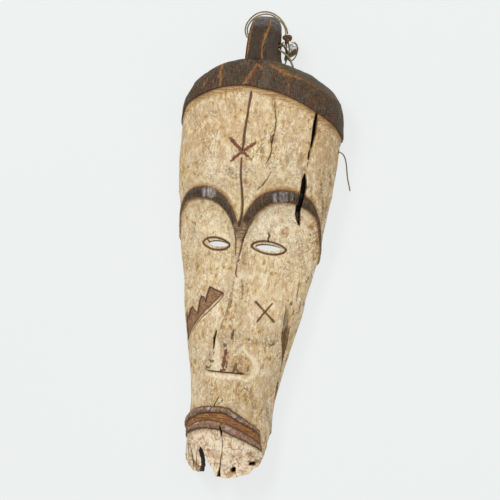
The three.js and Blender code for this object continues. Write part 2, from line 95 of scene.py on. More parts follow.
class Finish:
    """One node material, built by sums of sockets."""

    STEP_INPUTS = ("Value", "From Min", "From Max", "To Min", "To Max")

    def __init__(self, name):
        self.material = bpy.data.materials.new(name)
        self.material.use_nodes = True
        self.tree = self.material.node_tree
        self.shader = self.tree.nodes["Principled BSDF"]
        self.place = self.node("ShaderNodeTexCoord").outputs["Object"]

    def node(self, kind, inputs=None, **settings):
        made = self.tree.nodes.new(kind)
        for key, value in settings.items():
            setattr(made, key, value)
        for key, value in (inputs or {}).items():
            self.put(made.inputs[key], value)
        return made

    def put(self, socket, value):
        if isinstance(value, bpy.types.NodeSocket):
            self.tree.links.new(value, socket)
        else:
            socket.default_value = value

    def mask(self, name):
        """One number per point of the mesh."""
        return self.node("ShaderNodeAttribute", attribute_name=name).outputs["Fac"]

    def tint(self, name):
        """One colour per point of the mesh."""
        return self.node("ShaderNodeAttribute", attribute_name=name).outputs["Color"]

    def sum(self, operation, a, b=0.0, c=0.0):
        made = self.node("ShaderNodeMath", operation=operation)
        for socket, value in zip(made.inputs, (a, b, c)):
            self.put(socket, value)
        return made.outputs[0]

    def step(self, value, low, high, bottom=0.0, top=1.0):
        """A soft step: bottom under low, top over high."""
        made = self.node("ShaderNodeMapRange", interpolation_type="SMOOTHSTEP")
        for socket, item in zip(self.STEP_INPUTS, (value, low, high, bottom, top)):
            self.put(made.inputs[socket], item)
        return made.outputs["Result"]

    def stretched(self, x, y, z):
        """Places scaled so that a noise is x, y and z millimetres long."""
        scale = [1 / (size * MM) for size in (x, y, z)]
        return self.node("ShaderNodeMapping", {"Vector": self.place, "Scale": scale}).outputs["Vector"]

    def noise(self, size, detail=3.0, rough=0.5, warp=0.0):
        """Clouds of one size in millimetres, or of a size along each axis."""
        size = size if isinstance(size, tuple) else (size, size, size)
        inputs = {"Vector": self.stretched(*size), "Scale": 1.0, "Detail": detail,
                  "Roughness": rough, "Distortion": warp}
        return self.node("ShaderNodeTexNoise", inputs).outputs["Fac"]

    def cells(self, size, feature="F1", warp=0.0):
        """Distances to the middles of cells, or to the lines between them."""
        size = size if isinstance(size, tuple) else (size, size, size)
        vector = self.stretched(*size)
        bent = self.node("ShaderNodeTexNoise", {"Vector": vector, "Scale": 1.4, "Detail": 3.0})
        inputs = {0: bent.outputs["Color"], 1: (warp, warp, warp), 2: vector}
        vector = self.node("ShaderNodeVectorMath", inputs, operation="MULTIPLY_ADD").outputs["Vector"]
        made = self.node("ShaderNodeTexVoronoi", {"Vector": vector, "Scale": 1.0}, feature=feature)
        return made.outputs["Distance"]

    def mix(self, amount, low, high):
        """The low colour where amount is 0 and the high one where it is 1."""
        made = self.node("ShaderNodeMix", data_type="RGBA")
        self.put(made.inputs[0], amount)
        self.put(made.inputs[6], low)
        self.put(made.inputs[7], high)
        return made.outputs[2]

    def bump(self, height, depth_mm, normal=None):
        inputs = {"Height": height, "Strength": 1.0, "Distance": depth_mm * MM}
        if normal is not None:
            inputs["Normal"] = normal
        return self.node("ShaderNodeBump", inputs).outputs["Normal"]

    def finish(self, colour, roughness, normal=None, specular=0.5):
        self.put(self.shader.inputs["Base Color"], colour)
        self.put(self.shader.inputs["Roughness"], roughness)
        self.put(self.shader.inputs["Specular IOR Level"], specular)
        if normal is not None:
            self.put(self.shader.inputs["Normal"], normal)
        return self.material


print(len([name for name in vars(Finish) if name[0] != "_"]), "helpers for materials")


# %% [markdown]
# ## Ground and light
# The mask lies on a pale sheet under soft studio light. The sheet glows a little, like a light table,
# because the picture's ground is almost white and shows through the eye slits and the split chin. One
# large lamp stands up and to the left, and a weaker one fills the right side.

# %% Make the ground and the lamps
SHEET_HALF, SHEET_HEIGHT, SHEET_GLOW = 4.0, -0.0003, 0.89
ROOM_LIGHT = 0.46


def square(name, half, height):
    corners = [(x * half, y * half, height) for x, y in ((-1, -1), (1, -1), (1, 1), (-1, 1))]
    mesh = bpy.data.meshes.new(name)
    mesh.from_pydata(corners, [], [(0, 1, 2, 3)])
    return bpy.data.objects.new(name, mesh)


def ground_finish():
    """Pale paper, a little cloudy, lit from within."""
    paint = Finish("pale_ground")
    cloud = paint.noise(400.0, 2.0)
    colour = paint.mix(cloud, srgb(84, 86, 85), srgb(90, 92, 91))
    paint.put(paint.shader.inputs["Emission Color"], srgb(236, 239, 238))
    paint.put(paint.shader.inputs["Emission Strength"], SHEET_GLOW)
    return paint.finish(colour, 0.9, specular=0.1)


def lamp(name, place, size, power, tone):
    """A round lamp that points at the middle of the mask."""
    light = bpy.data.lights.new(name, "AREA")
    light.shape = "DISK"
    light.size = size
    light.energy = power
    light.color = tone
    made = bpy.data.objects.new(name, light)
    made.location = place
    made.rotation_euler = (-Vector(place)).to_track_quat("-Z", "Y").to_euler()
    bpy.context.scene.collection.objects.link(made)


ground = square("ground", SHEET_HALF, SHEET_HEIGHT)
ground.data.materials.append(ground_finish())
bpy.context.scene.collection.objects.link(ground)

lamp("lamp_upper_left", (-0.9, 1.3, 2.6), 1.1, 50, (1.0, 0.985, 0.96))
lamp("lamp_right", (1.8, 0.2, 2.2), 1.6, 20, (0.97, 0.985, 1.0))

world = bpy.data.worlds.new("studio")
world.use_nodes = True
world.node_tree.nodes["Background"].inputs["Color"].default_value = (1.0, 1.0, 1.0, 1.0)
world.node_tree.nodes["Background"].inputs["Strength"].default_value = ROOM_LIGHT
bpy.context.scene.world = world
bpy.context.scene.view_settings.view_transform = "Standard"


# %% [markdown]
# ## Cords
# The mask hangs by a thin two-ply plant cord that runs twice through its tenon. Its ends meet in a knot
# with two tails, and one loose strand is left of the fringe. A curve with a round bevel would show the
# twist in paint only. A mesh tube with a lobed section, turned as it goes along, shows it in the outline
# too.

# %% Routes of the cords
CORD, TAIL = 1.8, 1.6
KNOT_PLACE = np.array([19.8, 253.8, 33.0])
KNOT_RADIUS, KNOT_TUBE = 4.1, 4.6
HANGING_CORD = [
    (15.2, 249.5, 31.8), (10.5, 245.1, 30.6), (0, 245, 30.2), (-10, 244.9, 30.2), (-15.5, 245.2, 30.4),
    (-23, 248.2, 25.4), (-31.6, 252.2, 14.6), (-38.5, 257, 5), (-43, 263, 1.2), (-44.4, 270, 1),
    (-41.6, 277.4, 1), (-36.6, 283.2, 1), (-30, 287, 1), (-23, 288.5, 1), (-16, 287.9, 1),
    (-10.2, 285.4, 1), (-4.6, 281.8, 1), (0.3, 277.6, 1), (4, 272.6, 2), (7, 266.5, 5.5), (9.4, 259.6, 10),
    (11.2, 252.6, 14.6), (13.3, 247.6, 20.4), (15.1, 245.4, 26.2), (14.5, 244.7, 31.2), (10.5, 245, 33.9),
    (0, 245, 34), (-10, 245, 34), (-15.5, 245.4, 34), (-25, 249.6, 29.6), (-35.8, 255, 18.2),
    (-43.5, 261.2, 6), (-47, 268, 1.1), (-46, 275, 1), (-42.4, 281.3, 1), (-37, 286.8, 1),
    (-30.6, 290.2, 1), (-23.4, 291.3, 1), (-16, 290.4, 1.2), (-9.4, 287.6, 2.1), (-3.7, 284, 2.8),
    (1.4, 279.2, 3.2), (6, 273.9, 7), (11.2, 268.6, 15), (15.8, 263.2, 24), (18.7, 260.4, 31),
]
CURLED_TAIL = [
    (20.2, 248.4, 29.2), (19.3, 246.2, 22.4), (17.4, 244.2, 15), (15, 242, 8.4), (12.9, 239.6, 3.8),
    (11.9, 236.9, 1.6), (12.8, 234.1, 1), (15.4, 232.9, 1), (18.4, 234.1, 1), (20.8, 237, 1),
    (22.4, 240.8, 1), (23.2, 244.8, 1), (23.4, 249.2, 1),
]
SHORT_TAIL = [
    (17.2, 249.3, 28.4), (16.2, 246.8, 22.4), (13.8, 243.8, 15.5), (11, 240.8, 8.5), (9.8, 237.2, 3),
    (9.8, 233, 1.1), (9.7, 229.4, 1), (9.2, 226, 1),
]
FRINGE_CORD = [
    (84, 123, 22.8), (88.5, 123, 23.9), (93, 123, 24), (98, 123, 24), (101.6, 121.4, 21.5),
    (103.2, 116.8, 14.5), (103.2, 110, 7), (103.3, 102.5, 2), (104.6, 95.5, 1), (107, 88, 1),
    (109.4, 80.5, 1),
]


def follow(route, every):
    """Evenly spaced points on the smooth line through a route, which is a centripetal spline."""
    points = np.array(route, float)
    points = np.vstack([2 * points[0] - points[1], points, 2 * points[-1] - points[-2]])
    line = []
    for before, start, end, after in zip(points, points[1:], points[2:], points[3:]):
        pairs = (before, start), (start, end), (end, after)
        d0, d1, d2 = (math.sqrt(np.linalg.norm(b - a)) for a, b in pairs)
        leave = ((start - before) / d0 - (end - before) / (d0 + d1) + (end - start) / d1) * d1
        arrive = ((end - start) / d1 - (after - start) / (d1 + d2) + (after - end) / d2) * d1
        for t in np.arange(0, 1, 1 / 40):
            line.append((2 * t**3 - 3 * t**2 + 1) * start + (t**3 - 2 * t**2 + t) * leave
                        + (3 * t**2 - 2 * t**3) * end + (t**3 - t**2) * arrive)
    line.append(points[-2])
    line = np.array(line)
    run = np.concatenate([[0], np.cumsum(np.linalg.norm(np.diff(line, axis=0), axis=1))])
    marks = np.linspace(0, run[-1], max(8, round(run[-1] / every)) + 1)
    return np.stack([np.interp(marks, run, line[:, k]) for k in range(3)], axis=1), run[-1]


ROUTES = {"hanging cord": HANGING_CORD, "curled tail": CURLED_TAIL,
          "short tail": SHORT_TAIL, "fringe cord": FRINGE_CORD}
for title, route in ROUTES.items():
    print(title, round(follow(route, 1.0)[1], 1), "mm long")


# %% [markdown]
# ### Twisted cord
# A section with two lobes is swept along the route and turned a little at each step, so two plies wind
# round each other. The frame that carries it turns as little as it can, or the twist would bunch up in
# the bends. A small random change of thickness makes it handmade.

# %% Turn a route into a twisted cord
PLIES, SECTION_POINTS, UNEVEN = 2, 12, 0.04


def frames_along(line):
    """A side and an up direction at each point that turn as little as they can."""
    ahead = np.gradient(line, axis=0)
    ahead /= np.linalg.norm(ahead, axis=1, keepdims=True)
    side = np.cross(ahead[0], (0.3, 0.5, 0.81))
    sides = []
    for direction in ahead:
        side = side - direction * np.dot(side, direction)
        side = side / np.linalg.norm(side)
        sides.append(side)
    sides = np.array(sides)
    return sides, np.cross(ahead, sides)


def mesh_object(name, points_mm, faces, smooth=True):
    """An object at the origin, from points in millimetres."""
    mesh = bpy.data.meshes.new(name)
    mesh.from_pydata((np.asarray(points_mm, float) * MM).tolist(), [], faces)
    mesh.polygons.foreach_set("use_smooth", [smooth] * len(mesh.polygons))
    mesh.update()
    made = bpy.data.objects.new(name, mesh)
    bpy.context.scene.collection.objects.link(made)
    return made


def twisted(name, route, diameter, seed, pitch=7.0, every=0.7):
    """A tube whose lobed section turns once in each pitch. Returns the piece and its length."""
    line, length = follow(route, every)
    side, up = frames_along(line)
    random = np.random.default_rng(seed)
    sides = SECTION_POINTS
    angle = np.arange(sides) / sides * 2 * math.pi
    turned = np.arange(len(line)) * every / pitch * 2 * math.pi
    lobes = np.abs(np.cos((angle[None, :] - turned[:, None]) * PLIES / 2))
    radius = diameter / 2 * (0.80 + 0.22 * lobes) * (1 + UNEVEN * random.standard_normal((len(line), 1)))
    rings = (line[:, None, :] + (radius * np.cos(angle))[..., None] * side[:, None, :]
             + (radius * np.sin(angle))[..., None] * up[:, None, :])
    points = np.vstack([rings.reshape(-1, 3), line[:1], line[-1:]])
    faces = []
    for i in range(len(line) - 1):
        for k in range(sides):
            n = (k + 1) % sides
            faces.append((i * sides + k, i * sides + n, (i + 1) * sides + n, (i + 1) * sides + k))
    first, last = len(points) - 2, len(points) - 1
    top = (len(line) - 1) * sides
    faces += [(first, (k + 1) % sides, k) for k in range(sides)]
    faces += [(last, top + k, top + (k + 1) % sides) for k in range(sides)]
    return mesh_object(name, points, faces), length * MM


print("a section of", SECTION_POINTS, "points and", PLIES, "plies")


# %% [markdown]
# ### Dry fibre
# All the fibre is the same dry plant in a few shades. One recipe takes three tones: patches of a middle
# tone, pale hairs along the fibre and dark gaps between them.

# %% Fibre finishes
def fibre_finish(name, dark, mid, pale):
    """Dry plant fibre with paler hairs along it."""
    paint = Finish(name)
    hairs = paint.noise((0.5, 0.5, 0.5), 3.0, 0.7)
    patches = paint.noise(7.0, 2.0)
    halfway = [(m + p) / 2 for m, p in zip(mid, pale)]
    colour = paint.mix(paint.step(patches, 0.38, 0.62), srgb(*mid), srgb(*halfway))
    colour = paint.mix(paint.step(hairs, 0.50, 0.68), colour, srgb(*pale))
    colour = paint.mix(paint.step(hairs, 0.45, 0.30), colour, srgb(*dark))
    return paint.finish(colour, 0.85, paint.bump(hairs, 0.15), specular=0.25)


fibre = fibre_finish("dry_plant_fibre", (56, 42, 20), (112, 94, 56), (166, 148, 102))
brown_fibre = fibre_finish("knotted_brown_fibre", (44, 28, 12), (96, 68, 38), (150, 120, 80))
root_fibre = fibre_finish("root_fibre", (66, 48, 26), (128, 104, 66), (176, 152, 108))
net_fibre = fibre_finish("frayed_net_fibre", (58, 42, 22), (110, 88, 54), (176, 158, 122))
pale_fibre = fibre_finish("pale_split_fibre", (92, 78, 50), (158, 144, 108), (214, 204, 176))
print("fibre finishes:", fibre.name, brown_fibre.name, root_fibre.name, net_fibre.name, pale_fibre.name)


# %% [markdown]
# ### The knot
# The cord's ends meet in a small hard knot. A lump with a noise over it would show no strand going over
# another, so this is a real overhand knot: one closed line, given by a formula, with a thick cord along
# it.

# %% Tie the knot
def knot_piece():
    """A small overhand knot, as a line that goes three times over and under itself."""
    t = np.linspace(0, 2 * math.pi, 61)[:-1]
    loop = np.stack([np.sin(t) + 1.7 * np.sin(2 * t), np.cos(t) - 1.7 * np.cos(2 * t),
                     -1.2 * np.sin(3 * t)], axis=1)
    loop = loop / 2.75 * KNOT_RADIUS + KNOT_PLACE
    route = [tuple(p) for p in loop] + [tuple(loop[0])]
    return twisted("cord_knot_tied", route, KNOT_TUBE, seed=9, pitch=6.0, every=0.5)[0]


knot = knot_piece()
print("the knot has", len(knot.data.polygons), "faces")


# %% [markdown]
# ### Loose fibres
# Under the knot the plant shows how it was split: roots that spread out of the hole, one flat pale strip,
# and the curled tail's end opened into a loose net. Particle hair would not survive the export, so each
# fibre is a thin mesh with six corners round it.

# %% Single fibres and tufts
NET_HAIRS = 46


def hair(points, width, thick, twist=0.0):
    """One flat fibre along points, as rings of six corners."""
    line = follow(points, 1.0)[0]
    side, up = frames_along(line)
    turn = np.linspace(0, twist, len(line))[:, None]
    flat = side * np.cos(turn) + up * np.sin(turn)
    rise = up * np.cos(turn) - side * np.sin(turn)
    taper = np.minimum(1, np.linspace(0, 1, len(line))[::-1] * 6 + 0.25)[:, None]
    rings = np.stack([line + flat * a * width / 2 * taper + rise * b * thick / 2
                      for a, b in ((1, 0), (0.4, 1), (-0.4, 1), (-1, 0), (-0.4, -1), (0.4, -1))], axis=1)
    return rings


def fibre_tuft(name, hairs):
    """Many fibres in one mesh."""
    points, faces = [], []
    for rings in hairs:
        start, (rows, count) = len(points), rings.shape[:2]
        points += rings.reshape(-1, 3).tolist()
        for i in range(rows - 1):
            for k in range(count):
                n = (k + 1) % count
                faces.append([start + i * count + k, start + i * count + n,
                              start + (i + 1) * count + n, start + (i + 1) * count + k])
        faces += [[start + k for k in reversed(range(count))],
                  [start + (rows - 1) * count + k for k in range(count)]]
    return mesh_object(name, points, faces)


def frayed_end():
    """The curled tail's end, opened into single fibres that lie in a loose net inside the curl."""
    random = np.random.default_rng(5)
    hairs = [hair([(23.2, 243, 1.2), (23.6, 248.5, 1.6), (21.2, 253.4, 1.8), (17.2, 256.6, 1.4)], 1.1, 0.6),
             hair([(22.8, 244, 1.6), (22.0, 250, 2.2), (18.6, 254.4, 2.2), (12.0, 256.4, 1.6)], 0.7, 0.5)]
    for k in range(6):
        off = (k - 2.5) * 0.9
        hairs.append(hair([(11.4 + off * 0.5, 237.6 - off * 0.4, 1.2), (16.6 + off * 0.6, 240.6 - off, 2.2),
                           (20.6 + off * 0.5, 244.0 - off, 2.2), (22.6, 247.2, 1.4)], 1.5, 0.8, 0.5))
    for _ in range(NET_HAIRS):
        lean = random.uniform(-0.7, 1.9)
        start = np.array([random.uniform(11.5, 23), random.uniform(241, 254), random.uniform(0.6, 2.2)])
        reach = random.uniform(3.5, 8) * np.array([-math.cos(lean), math.sin(lean), 0])
        end = np.clip(start + reach, (8.5, 240, 0.4), (24, 256.5, 2.6))
        middle = (start + end) / 2 + random.uniform(-1.4, 1.4, 3) * (1, 1, 0.4) + (0, 0, 0.6)
        hairs.append(hair([tuple(start), tuple(middle), tuple(end)], random.uniform(0.25, 0.5), 0.25))
    return fibre_tuft("frayed_fibres", hairs)


def root_bundle():
    """Fibres that spread from the hole's mouth under the knot and hang with the short tail."""
    hairs = []
    for k in range(9):
        side = (k - 4) / 4
        hairs.append(hair([(13.2 + side, 247.0, 30 + side), (15.8 + 1.6 * side, 243.4, 24 + 2 * side),
                           (14.4 + side * 2.0, 239.6, 13 + side),
                           (11.2 + side * 2.2, 236.2, 4.4 + 0.5 * side),
                           (9.4 + side * 1.8, 231.6 + abs(side) * 2, 1.2)], 1.5, 0.7, 0.5 * side))
    for k in range(3):
        hairs.append(hair([(11.6, 246.4 + k, 32), (12.0, 243.6 + 1.4 * k, 27 + k),
                           (10.8 - k, 240.8 + 1.6 * k, 26 + k)], 1.0, 0.6))
    return fibre_tuft("root_fibres", hairs)


def split_strip():
    """A flat pale strip of fibre that leaves the hole and falls over the tails."""
    wide = hair([(11.0, 241.6, 35), (12.2, 239.6, 34.5), (14.2, 238.2, 27), (15.2, 237.0, 17),
                 (15.8, 235.4, 8.5),
                 (16.8, 232.4, 4.2), (19.0, 227.6, 1.8), (21.6, 222.0, 0.6)], 2.6, 0.6, 0.5)
    thin = hair([(13.6, 236.0, 10.0), (12.4, 233.4, 4.6), (11.0, 229.6, 3.0), (9.6, 225.6, 2.2)], 1.3, 0.5,
                0.4)
    return fibre_tuft("split_fibre_strip", [wide, thin])


fray = frayed_end()
strip = split_strip()
roots = root_bundle()
print("loose fibres:", sum(len(tuft.data.polygons) for tuft in (fray, strip, roots)), "faces")


# %% Place the cords
def dress(piece, finish):
    """Gives a fibre piece its finish, and lets it ride on the mask."""
    piece.data.materials.append(finish)
    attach(piece, "root")


def add_cord(name, node, route, diameter, seed):
    piece, length = twisted(name, route, diameter, seed)
    dress(piece, fibre)
    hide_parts(node)
    line = follow(route, 1.0)[0] * MM


for tuft, its_fibre in ((knot, brown_fibre), (fray, net_fibre), (strip, pale_fibre), (roots, root_fibre)):
    dress(tuft, its_fibre)
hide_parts("cord_knot")
add_cord("hanging_cord_twisted", "hanging_cord", HANGING_CORD, CORD, 1)
add_cord("cord_tail_curled", "cord_tail_curl", CURLED_TAIL, TAIL, 2)
add_cord("cord_tail_straight", "cord_tail_short", SHORT_TAIL, TAIL, 3)
add_cord("fringe_strand", "fringe_cord", FRINGE_CORD, TAIL, 4)
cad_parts["fringe_stub"].data.materials.clear()
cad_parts["fringe_stub"].data.materials.append(fibre)


# %% [markdown]
# ## The skin of the face
# The carving is one closed shell. A sculpted mesh could not be read or changed later, so every point is
# worked out from named sizes. A place on the skin is a pair: how far across, measured along the surface,
# and how far up. The tables that shape the CAD solid turn that pair into a point, so the skin lies where
# the solid does.

# %% Tables of the shell
HALF_WIDTH = [
    (-275, 48.5), (-245, 50.5), (-215, 50.6), (-184, 50.2), (-150, 55.6), (-113, 64.5), (-77, 73),
    (-42, 78.1), (-5, 86.4), (30, 89.5), (65, 94.3), (100, 97.1), (135, 97.4), (165, 95.4),
]
CROWN_HEIGHT = [
    (-275, 44.7), (-240, 50.5), (-205, 56.2), (-165, 61.3), (-150, 62), (-130, 63), (-95, 63.5),
    (-60, 59.5), (-30, 56.5), (0, 60), (30, 66.3), (60, 72.6), (90, 81.9), (120, 82.7), (150, 79.7),
    (175, 78), (218, 76),
]
WAIST_HEIGHT = [(-275, 18), (-215, 20), (-165, 22), (-90, 25), (0, 27), (60, 29), (120, 30), (218, 30)]
SQUARENESS = [
    (-275, 2.3), (-165, 2.1), (-90, 1.9), (0, 1.75), (40, 1.95), (60, 2.2), (120, 2.3), (160, 2.6),
    (190, 3.2), (218, 3.8),
]
RIM_SHARE = 0.885
DOME_START = 156
DOME_DEPTH = 62
DOME_INSET = 1.45
FRONT_WALL = 15
SIDE_WALL = 11
HOLLOW_END = 200.5


def smooth(table):
    """A smooth line through a table of (place, value), held level past its ends."""
    x, y = np.array(table, float).T
    width = np.diff(x)
    slope = np.diff(y) / width
    between = (width[1:] * slope[:-1] + width[:-1] * slope[1:]) / (width[1:] + width[:-1])
    tangent = np.concatenate([slope[:1], between, slope[-1:]])

    def value(at):
        at = np.clip(at, x[0], x[-1])
        i = np.clip(np.searchsorted(x, at, side="right") - 1, 0, len(x) - 2)
        h = width[i]
        t = (at - x[i]) / h
        return ((2 * t**3 - 3 * t**2 + 1) * y[i] + (t**3 - 2 * t**2 + t) * h * tangent[i]
                + (3 * t**2 - 2 * t**3) * y[i + 1] + (t**3 - t**2) * h * tangent[i + 1])
    return value


def ease(t):
    """A soft step from 0 to 1."""
    t = np.clip(t, 0, 1)
    return t * t * (3 - 2 * t)


widest_at, crown_at, waist_at, square_at = (
    smooth(t) for t in (HALF_WIDTH, CROWN_HEIGHT, WAIST_HEIGHT, SQUARENESS))


def half_width(y, inset=0.0):
    """How wide the face is from its middle line, closed in by the dome at the crown."""
    t = np.clip((y - DOME_START) / (DOME_DEPTH - inset * DOME_INSET), 0, 1)
    return (widest_at(np.minimum(y, 160)) - inset) * np.sqrt(np.maximum(0.004, 1 - t * t))


print("widest", round(2 * float(half_width(130.0)), 1), "mm at the forehead")


# %% [markdown]
# ### A surface that can be asked for any point
# Each cross section is a soft arch on two walls that lean in to the rim. Its points are spread by running
# length and not by angle, so that a stroke is as wide on the side of the face as on its front. The same
# class with an inset gives the hollow.

# %% The shell
class Shell:
    """Cross sections laid out by running length, with everything between them filled in."""

    HEIGHTS = np.concatenate([np.arange(-292, 150, 2.0), np.arange(150, 158, 1.0),
                              DOME_START + DOME_DEPTH * np.sin(np.linspace(0.04, 1.545, 90))])
    SHARES = np.linspace(0, 1, 241)

    def __init__(self, inset=0.0):
        sections = [self.section(y, inset) for y in self.HEIGHTS]
        self.x, self.z, self.run = (np.array(part) for part in zip(*sections))

    def section(self, y, inset):
        widest = half_width(y, inset)
        waist = waist_at(y)
        crown = max(waist + 4, crown_at(y) - (FRONT_WALL if inset else 0))
        power = 2 / square_at(y)
        rim = min(widest, RIM_SHARE * half_width(y) - 10) if inset else RIM_SHARE * widest
        rim = max(rim, widest * 0.5)
        angle = np.linspace(0, math.pi / 2, 241)
        t = np.linspace(0, 1, 33)[1:]
        x = np.concatenate([widest * np.sin(angle) ** power, widest - (widest - rim) * t * t])
        z = np.concatenate([waist + (crown - waist) * np.maximum(0, np.cos(angle)) ** power,
                            waist * (1 - t)])
        run = np.concatenate([[0], np.cumsum(np.hypot(np.diff(x), np.diff(z)))])
        marks = self.SHARES * run[-1]
        return np.interp(marks, run, x), np.interp(marks, run, z), run[-1]

    def length(self, y):
        """How far it is along the skin from the middle line to the rim."""
        return np.interp(y, self.HEIGHTS, self.run)

    def point(self, s, y):
        """The place in space of a place on the skin."""
        i = np.clip(np.searchsorted(self.HEIGHTS, y, side="right") - 1, 0, len(self.HEIGHTS) - 2)
        t = np.clip((y - self.HEIGHTS[i]) / (self.HEIGHTS[i + 1] - self.HEIGHTS[i]), 0, 1)
        share = np.clip(np.abs(s) / self.length(y), 0, 1) * (len(self.SHARES) - 1)
        k = np.minimum(share.astype(int), len(self.SHARES) - 2)
        f = share - k

        def read(table):
            low = table[i, k] * (1 - f) + table[i, k + 1] * f
            high = table[i + 1, k] * (1 - f) + table[i + 1, k + 1] * f
            return low * (1 - t) + high * t
        return np.stack([np.sign(s) * read(self.x), y, read(self.z)], axis=-1)

    def outward(self, s, y, reach=1.5):
        """The direction out of the wood, from four neighbours."""
        rim = self.length(y)
        side = self.point(np.minimum(rim, s + reach), y) - self.point(np.maximum(-rim, s - reach), y)
        above, below = np.minimum(217, y + reach), np.maximum(-275, y - reach)
        share = s / rim
        high, low = (self.point(share * self.length(at), at) for at in (above, below))
        normal = np.cross(side, high - low)
        return normal / np.linalg.norm(normal, axis=-1, keepdims=True)


outside, inside = Shell(), Shell(SIDE_WALL)
print("the forehead's skin is", round(2 * float(outside.length(100.0))), "mm round from rim to rim")


# %% [markdown]
# ## Lines that the carving follows
# The brows, the lips, the foot of the nose and the edge of the cap are steps in the surface. In straight
# rows of mesh each would come out as a staircase. So each edge is a guide, and the rows are spread from
# guide to guide.

# %% Guides
BROW_LOWER = smooth([
    (-112, -2), (-100, 2), (-96, 9), (-92, 24), (-84.9, 38), (-78.3, 45.7), (-66.3, 51), (-49, 51.5),
    (-33.6, 48), (-21.9, 39.8), (-12.9, 28.6), (-7, 16), (-2, 5), (1, 3), (3.9, 6), (10.6, 23.7),
    (19.4, 36), (31, 46.7), (45, 52.5), (55, 53.5), (66.5, 52), (73.5, 49.6), (84, 44.7), (91, 34.5),
    (95, 18), (98.5, 4), (105, -10), (114, -16),
])
BROW_UPPER = smooth([
    (-112, 10), (-101, 12), (-98, 20), (-94.5, 33), (-88.6, 44), (-81.9, 52.5), (-70.6, 61), (-55.6, 65.7),
    (-42.5, 66), (-30.5, 61.8), (-18.5, 53.5), (-9.6, 41), (-2.8, 28.5), (0, 27), (3, 31), (10.7, 45.7),
    (21, 58), (36.6, 66), (53.6, 68.6), (67.6, 67), (78, 63), (87, 55.5), (93, 44.5), (98, 31), (101.5, 15),
    (105, 2), (114, -6),
])
LIP_TOP = smooth([
    (-64, -216), (-57, -210.5), (-46.9, -202.2), (-30.5, -195.4), (-15.6, -193.2), (-2.8, -192.3),
    (9.8, -193.6), (22.2, -200), (34.9, -207.4), (46.2, -213.4), (54, -219.5), (70, -224),
])
LIP_TOP_EDGE = smooth([
    (-64, -222), (-57, -216.6), (-39.1, -207.6), (-24.7, -201.7), (-10.7, -199.6), (4.6, -199.2),
    (15.8, -203.6), (27, -208.9), (37.7, -213.4), (46, -218.4), (54, -223.5), (70, -228),
])
LIP_LOW_EDGE = smooth([
    (-64, -229), (-57, -225.4), (-44.2, -219.4), (-32, -213.4), (-20.6, -210), (-5.4, -209.4),
    (8.5, -211.8), (22.2, -216.9), (35.8, -222.6), (50.4, -231), (54, -232.6), (70, -236),
])
LIP_LOW = smooth([
    (-64, -233), (-56.8, -228.9), (-44, -224.4), (-31.1, -220.8), (-15.3, -218), (-2.1, -218.6),
    (13.4, -222.8), (25.5, -227.2), (38.9, -232), (50.9, -237), (54, -238.4), (70, -242),
])
CAP_EDGE = smooth([
    (-150, 136), (-122, 139), (-105, 149), (-95, 159), (-86, 165), (-70.5, 171.6), (-41, 183), (-20, 186.5),
    (-2.8, 187), (9, 185), (33, 181), (57, 173), (79, 163), (95, 155.5), (114, 146), (130, 139), (150, 136),
])
CAP_RIDGE = smooth([
    (-126, 181), (-98, 184), (-85, 188.5), (-71, 198), (-55, 205), (-30, 214), (0, 222), (14, 214),
    (18.7, 211.6), (29, 207.2), (39, 203.3), (50.3, 199.4), (59.5, 196), (69.9, 192.6), (82, 187),
    (96.4, 181.8), (112, 180), (125, 179.4),
])
STRIP = 7.0
NOSE_FOOT = -151.0
FOOT, CREST = -276.0, 217.6


def level(height):
    """A guide that runs straight across."""
    return lambda s: np.full(np.shape(s), float(height))


def cap_strip(s):
    """The lower edge of the ochre strip."""
    return CAP_EDGE(s) - STRIP


GUIDES = [  # a line, the rows from it to the next, and how far apart the two rows on the line are
    (level(FOOT), 26, 0.0), (LIP_LOW, 7, 0.5), (LIP_LOW_EDGE, 7, 0.5), (LIP_TOP_EDGE, 6, 0.5),
          (LIP_TOP, 36, 0.5),
    (level(NOSE_FOOT), 134, 0.5), (BROW_LOWER, 12, 0.5), (BROW_UPPER, 70, 0.5), (cap_strip, 5, 0.4),
    (CAP_EDGE, 34, 0.7), (level(CREST), 0, 0.0),
]
ROWS = sum(guide[1] for guide in GUIDES)
COLUMNS = 197
print(len(GUIDES), "guides,", ROWS, "rows")


# %% [markdown]
# ### Rows and columns
# How far across a point lies depends on the length of the skin at its height, and its height depends on
# how far across it lies. A few rounds of working out one from the other settle both. The columns stand
# closer together near the rims, where the skin turns fastest.

# %% Rows and columns of the skin
FIRST_LENGTH, ROUNDS = 150, 6


def heights_of_rows(s):
    """How high each row runs, at distances s across the skin."""
    blocks, start = [], 0
    for (lower, count, gap), (upper, _, next_gap) in zip(GUIDES, GUIDES[1:]):
        part = s[start:start + count]
        start += count
        t = np.linspace(0, 1, count)[:, None]
        if upper(0.0) == CREST:
            t = np.sin(t * math.pi / 2)
        low, high = lower(part) + gap / 2, upper(part) - next_gap / 2
        blocks.append(low + (high - low) * t)
    return np.vstack(blocks)


even = np.linspace(-1, 1, COLUMNS)
column_share = even * (0.82 + 0.18 * even**2)
S = np.tile(column_share * FIRST_LENGTH, (ROWS, 1))
for _ in range(ROUNDS):
    Y = heights_of_rows(S)
    RIM = outside.length(Y)
    S = column_share * RIM
print("rows and columns:", Y.shape)


def over(guide, s, y):
    """Distance above a guide, square to it. It is negative below."""
    slope = guide(s + 0.5) - guide(s - 0.5)
    return (y - guide(s)) / np.sqrt(1 + slope**2)


def wall(distance, width=0.5):
    """From 0 to 1 across an edge."""
    return ease((distance + width / 2) / width)


# %% [markdown]
# ## Strokes, outlines and grain
# Cuts and painted lines are strokes: places on the skin with a width at each. One function gives, for
# every point of the mesh, how far inside the nearest stroke it lies. The carving uses that number as
# depth and the paint as an edge, which stays sharp because the shader draws it, not the mesh.

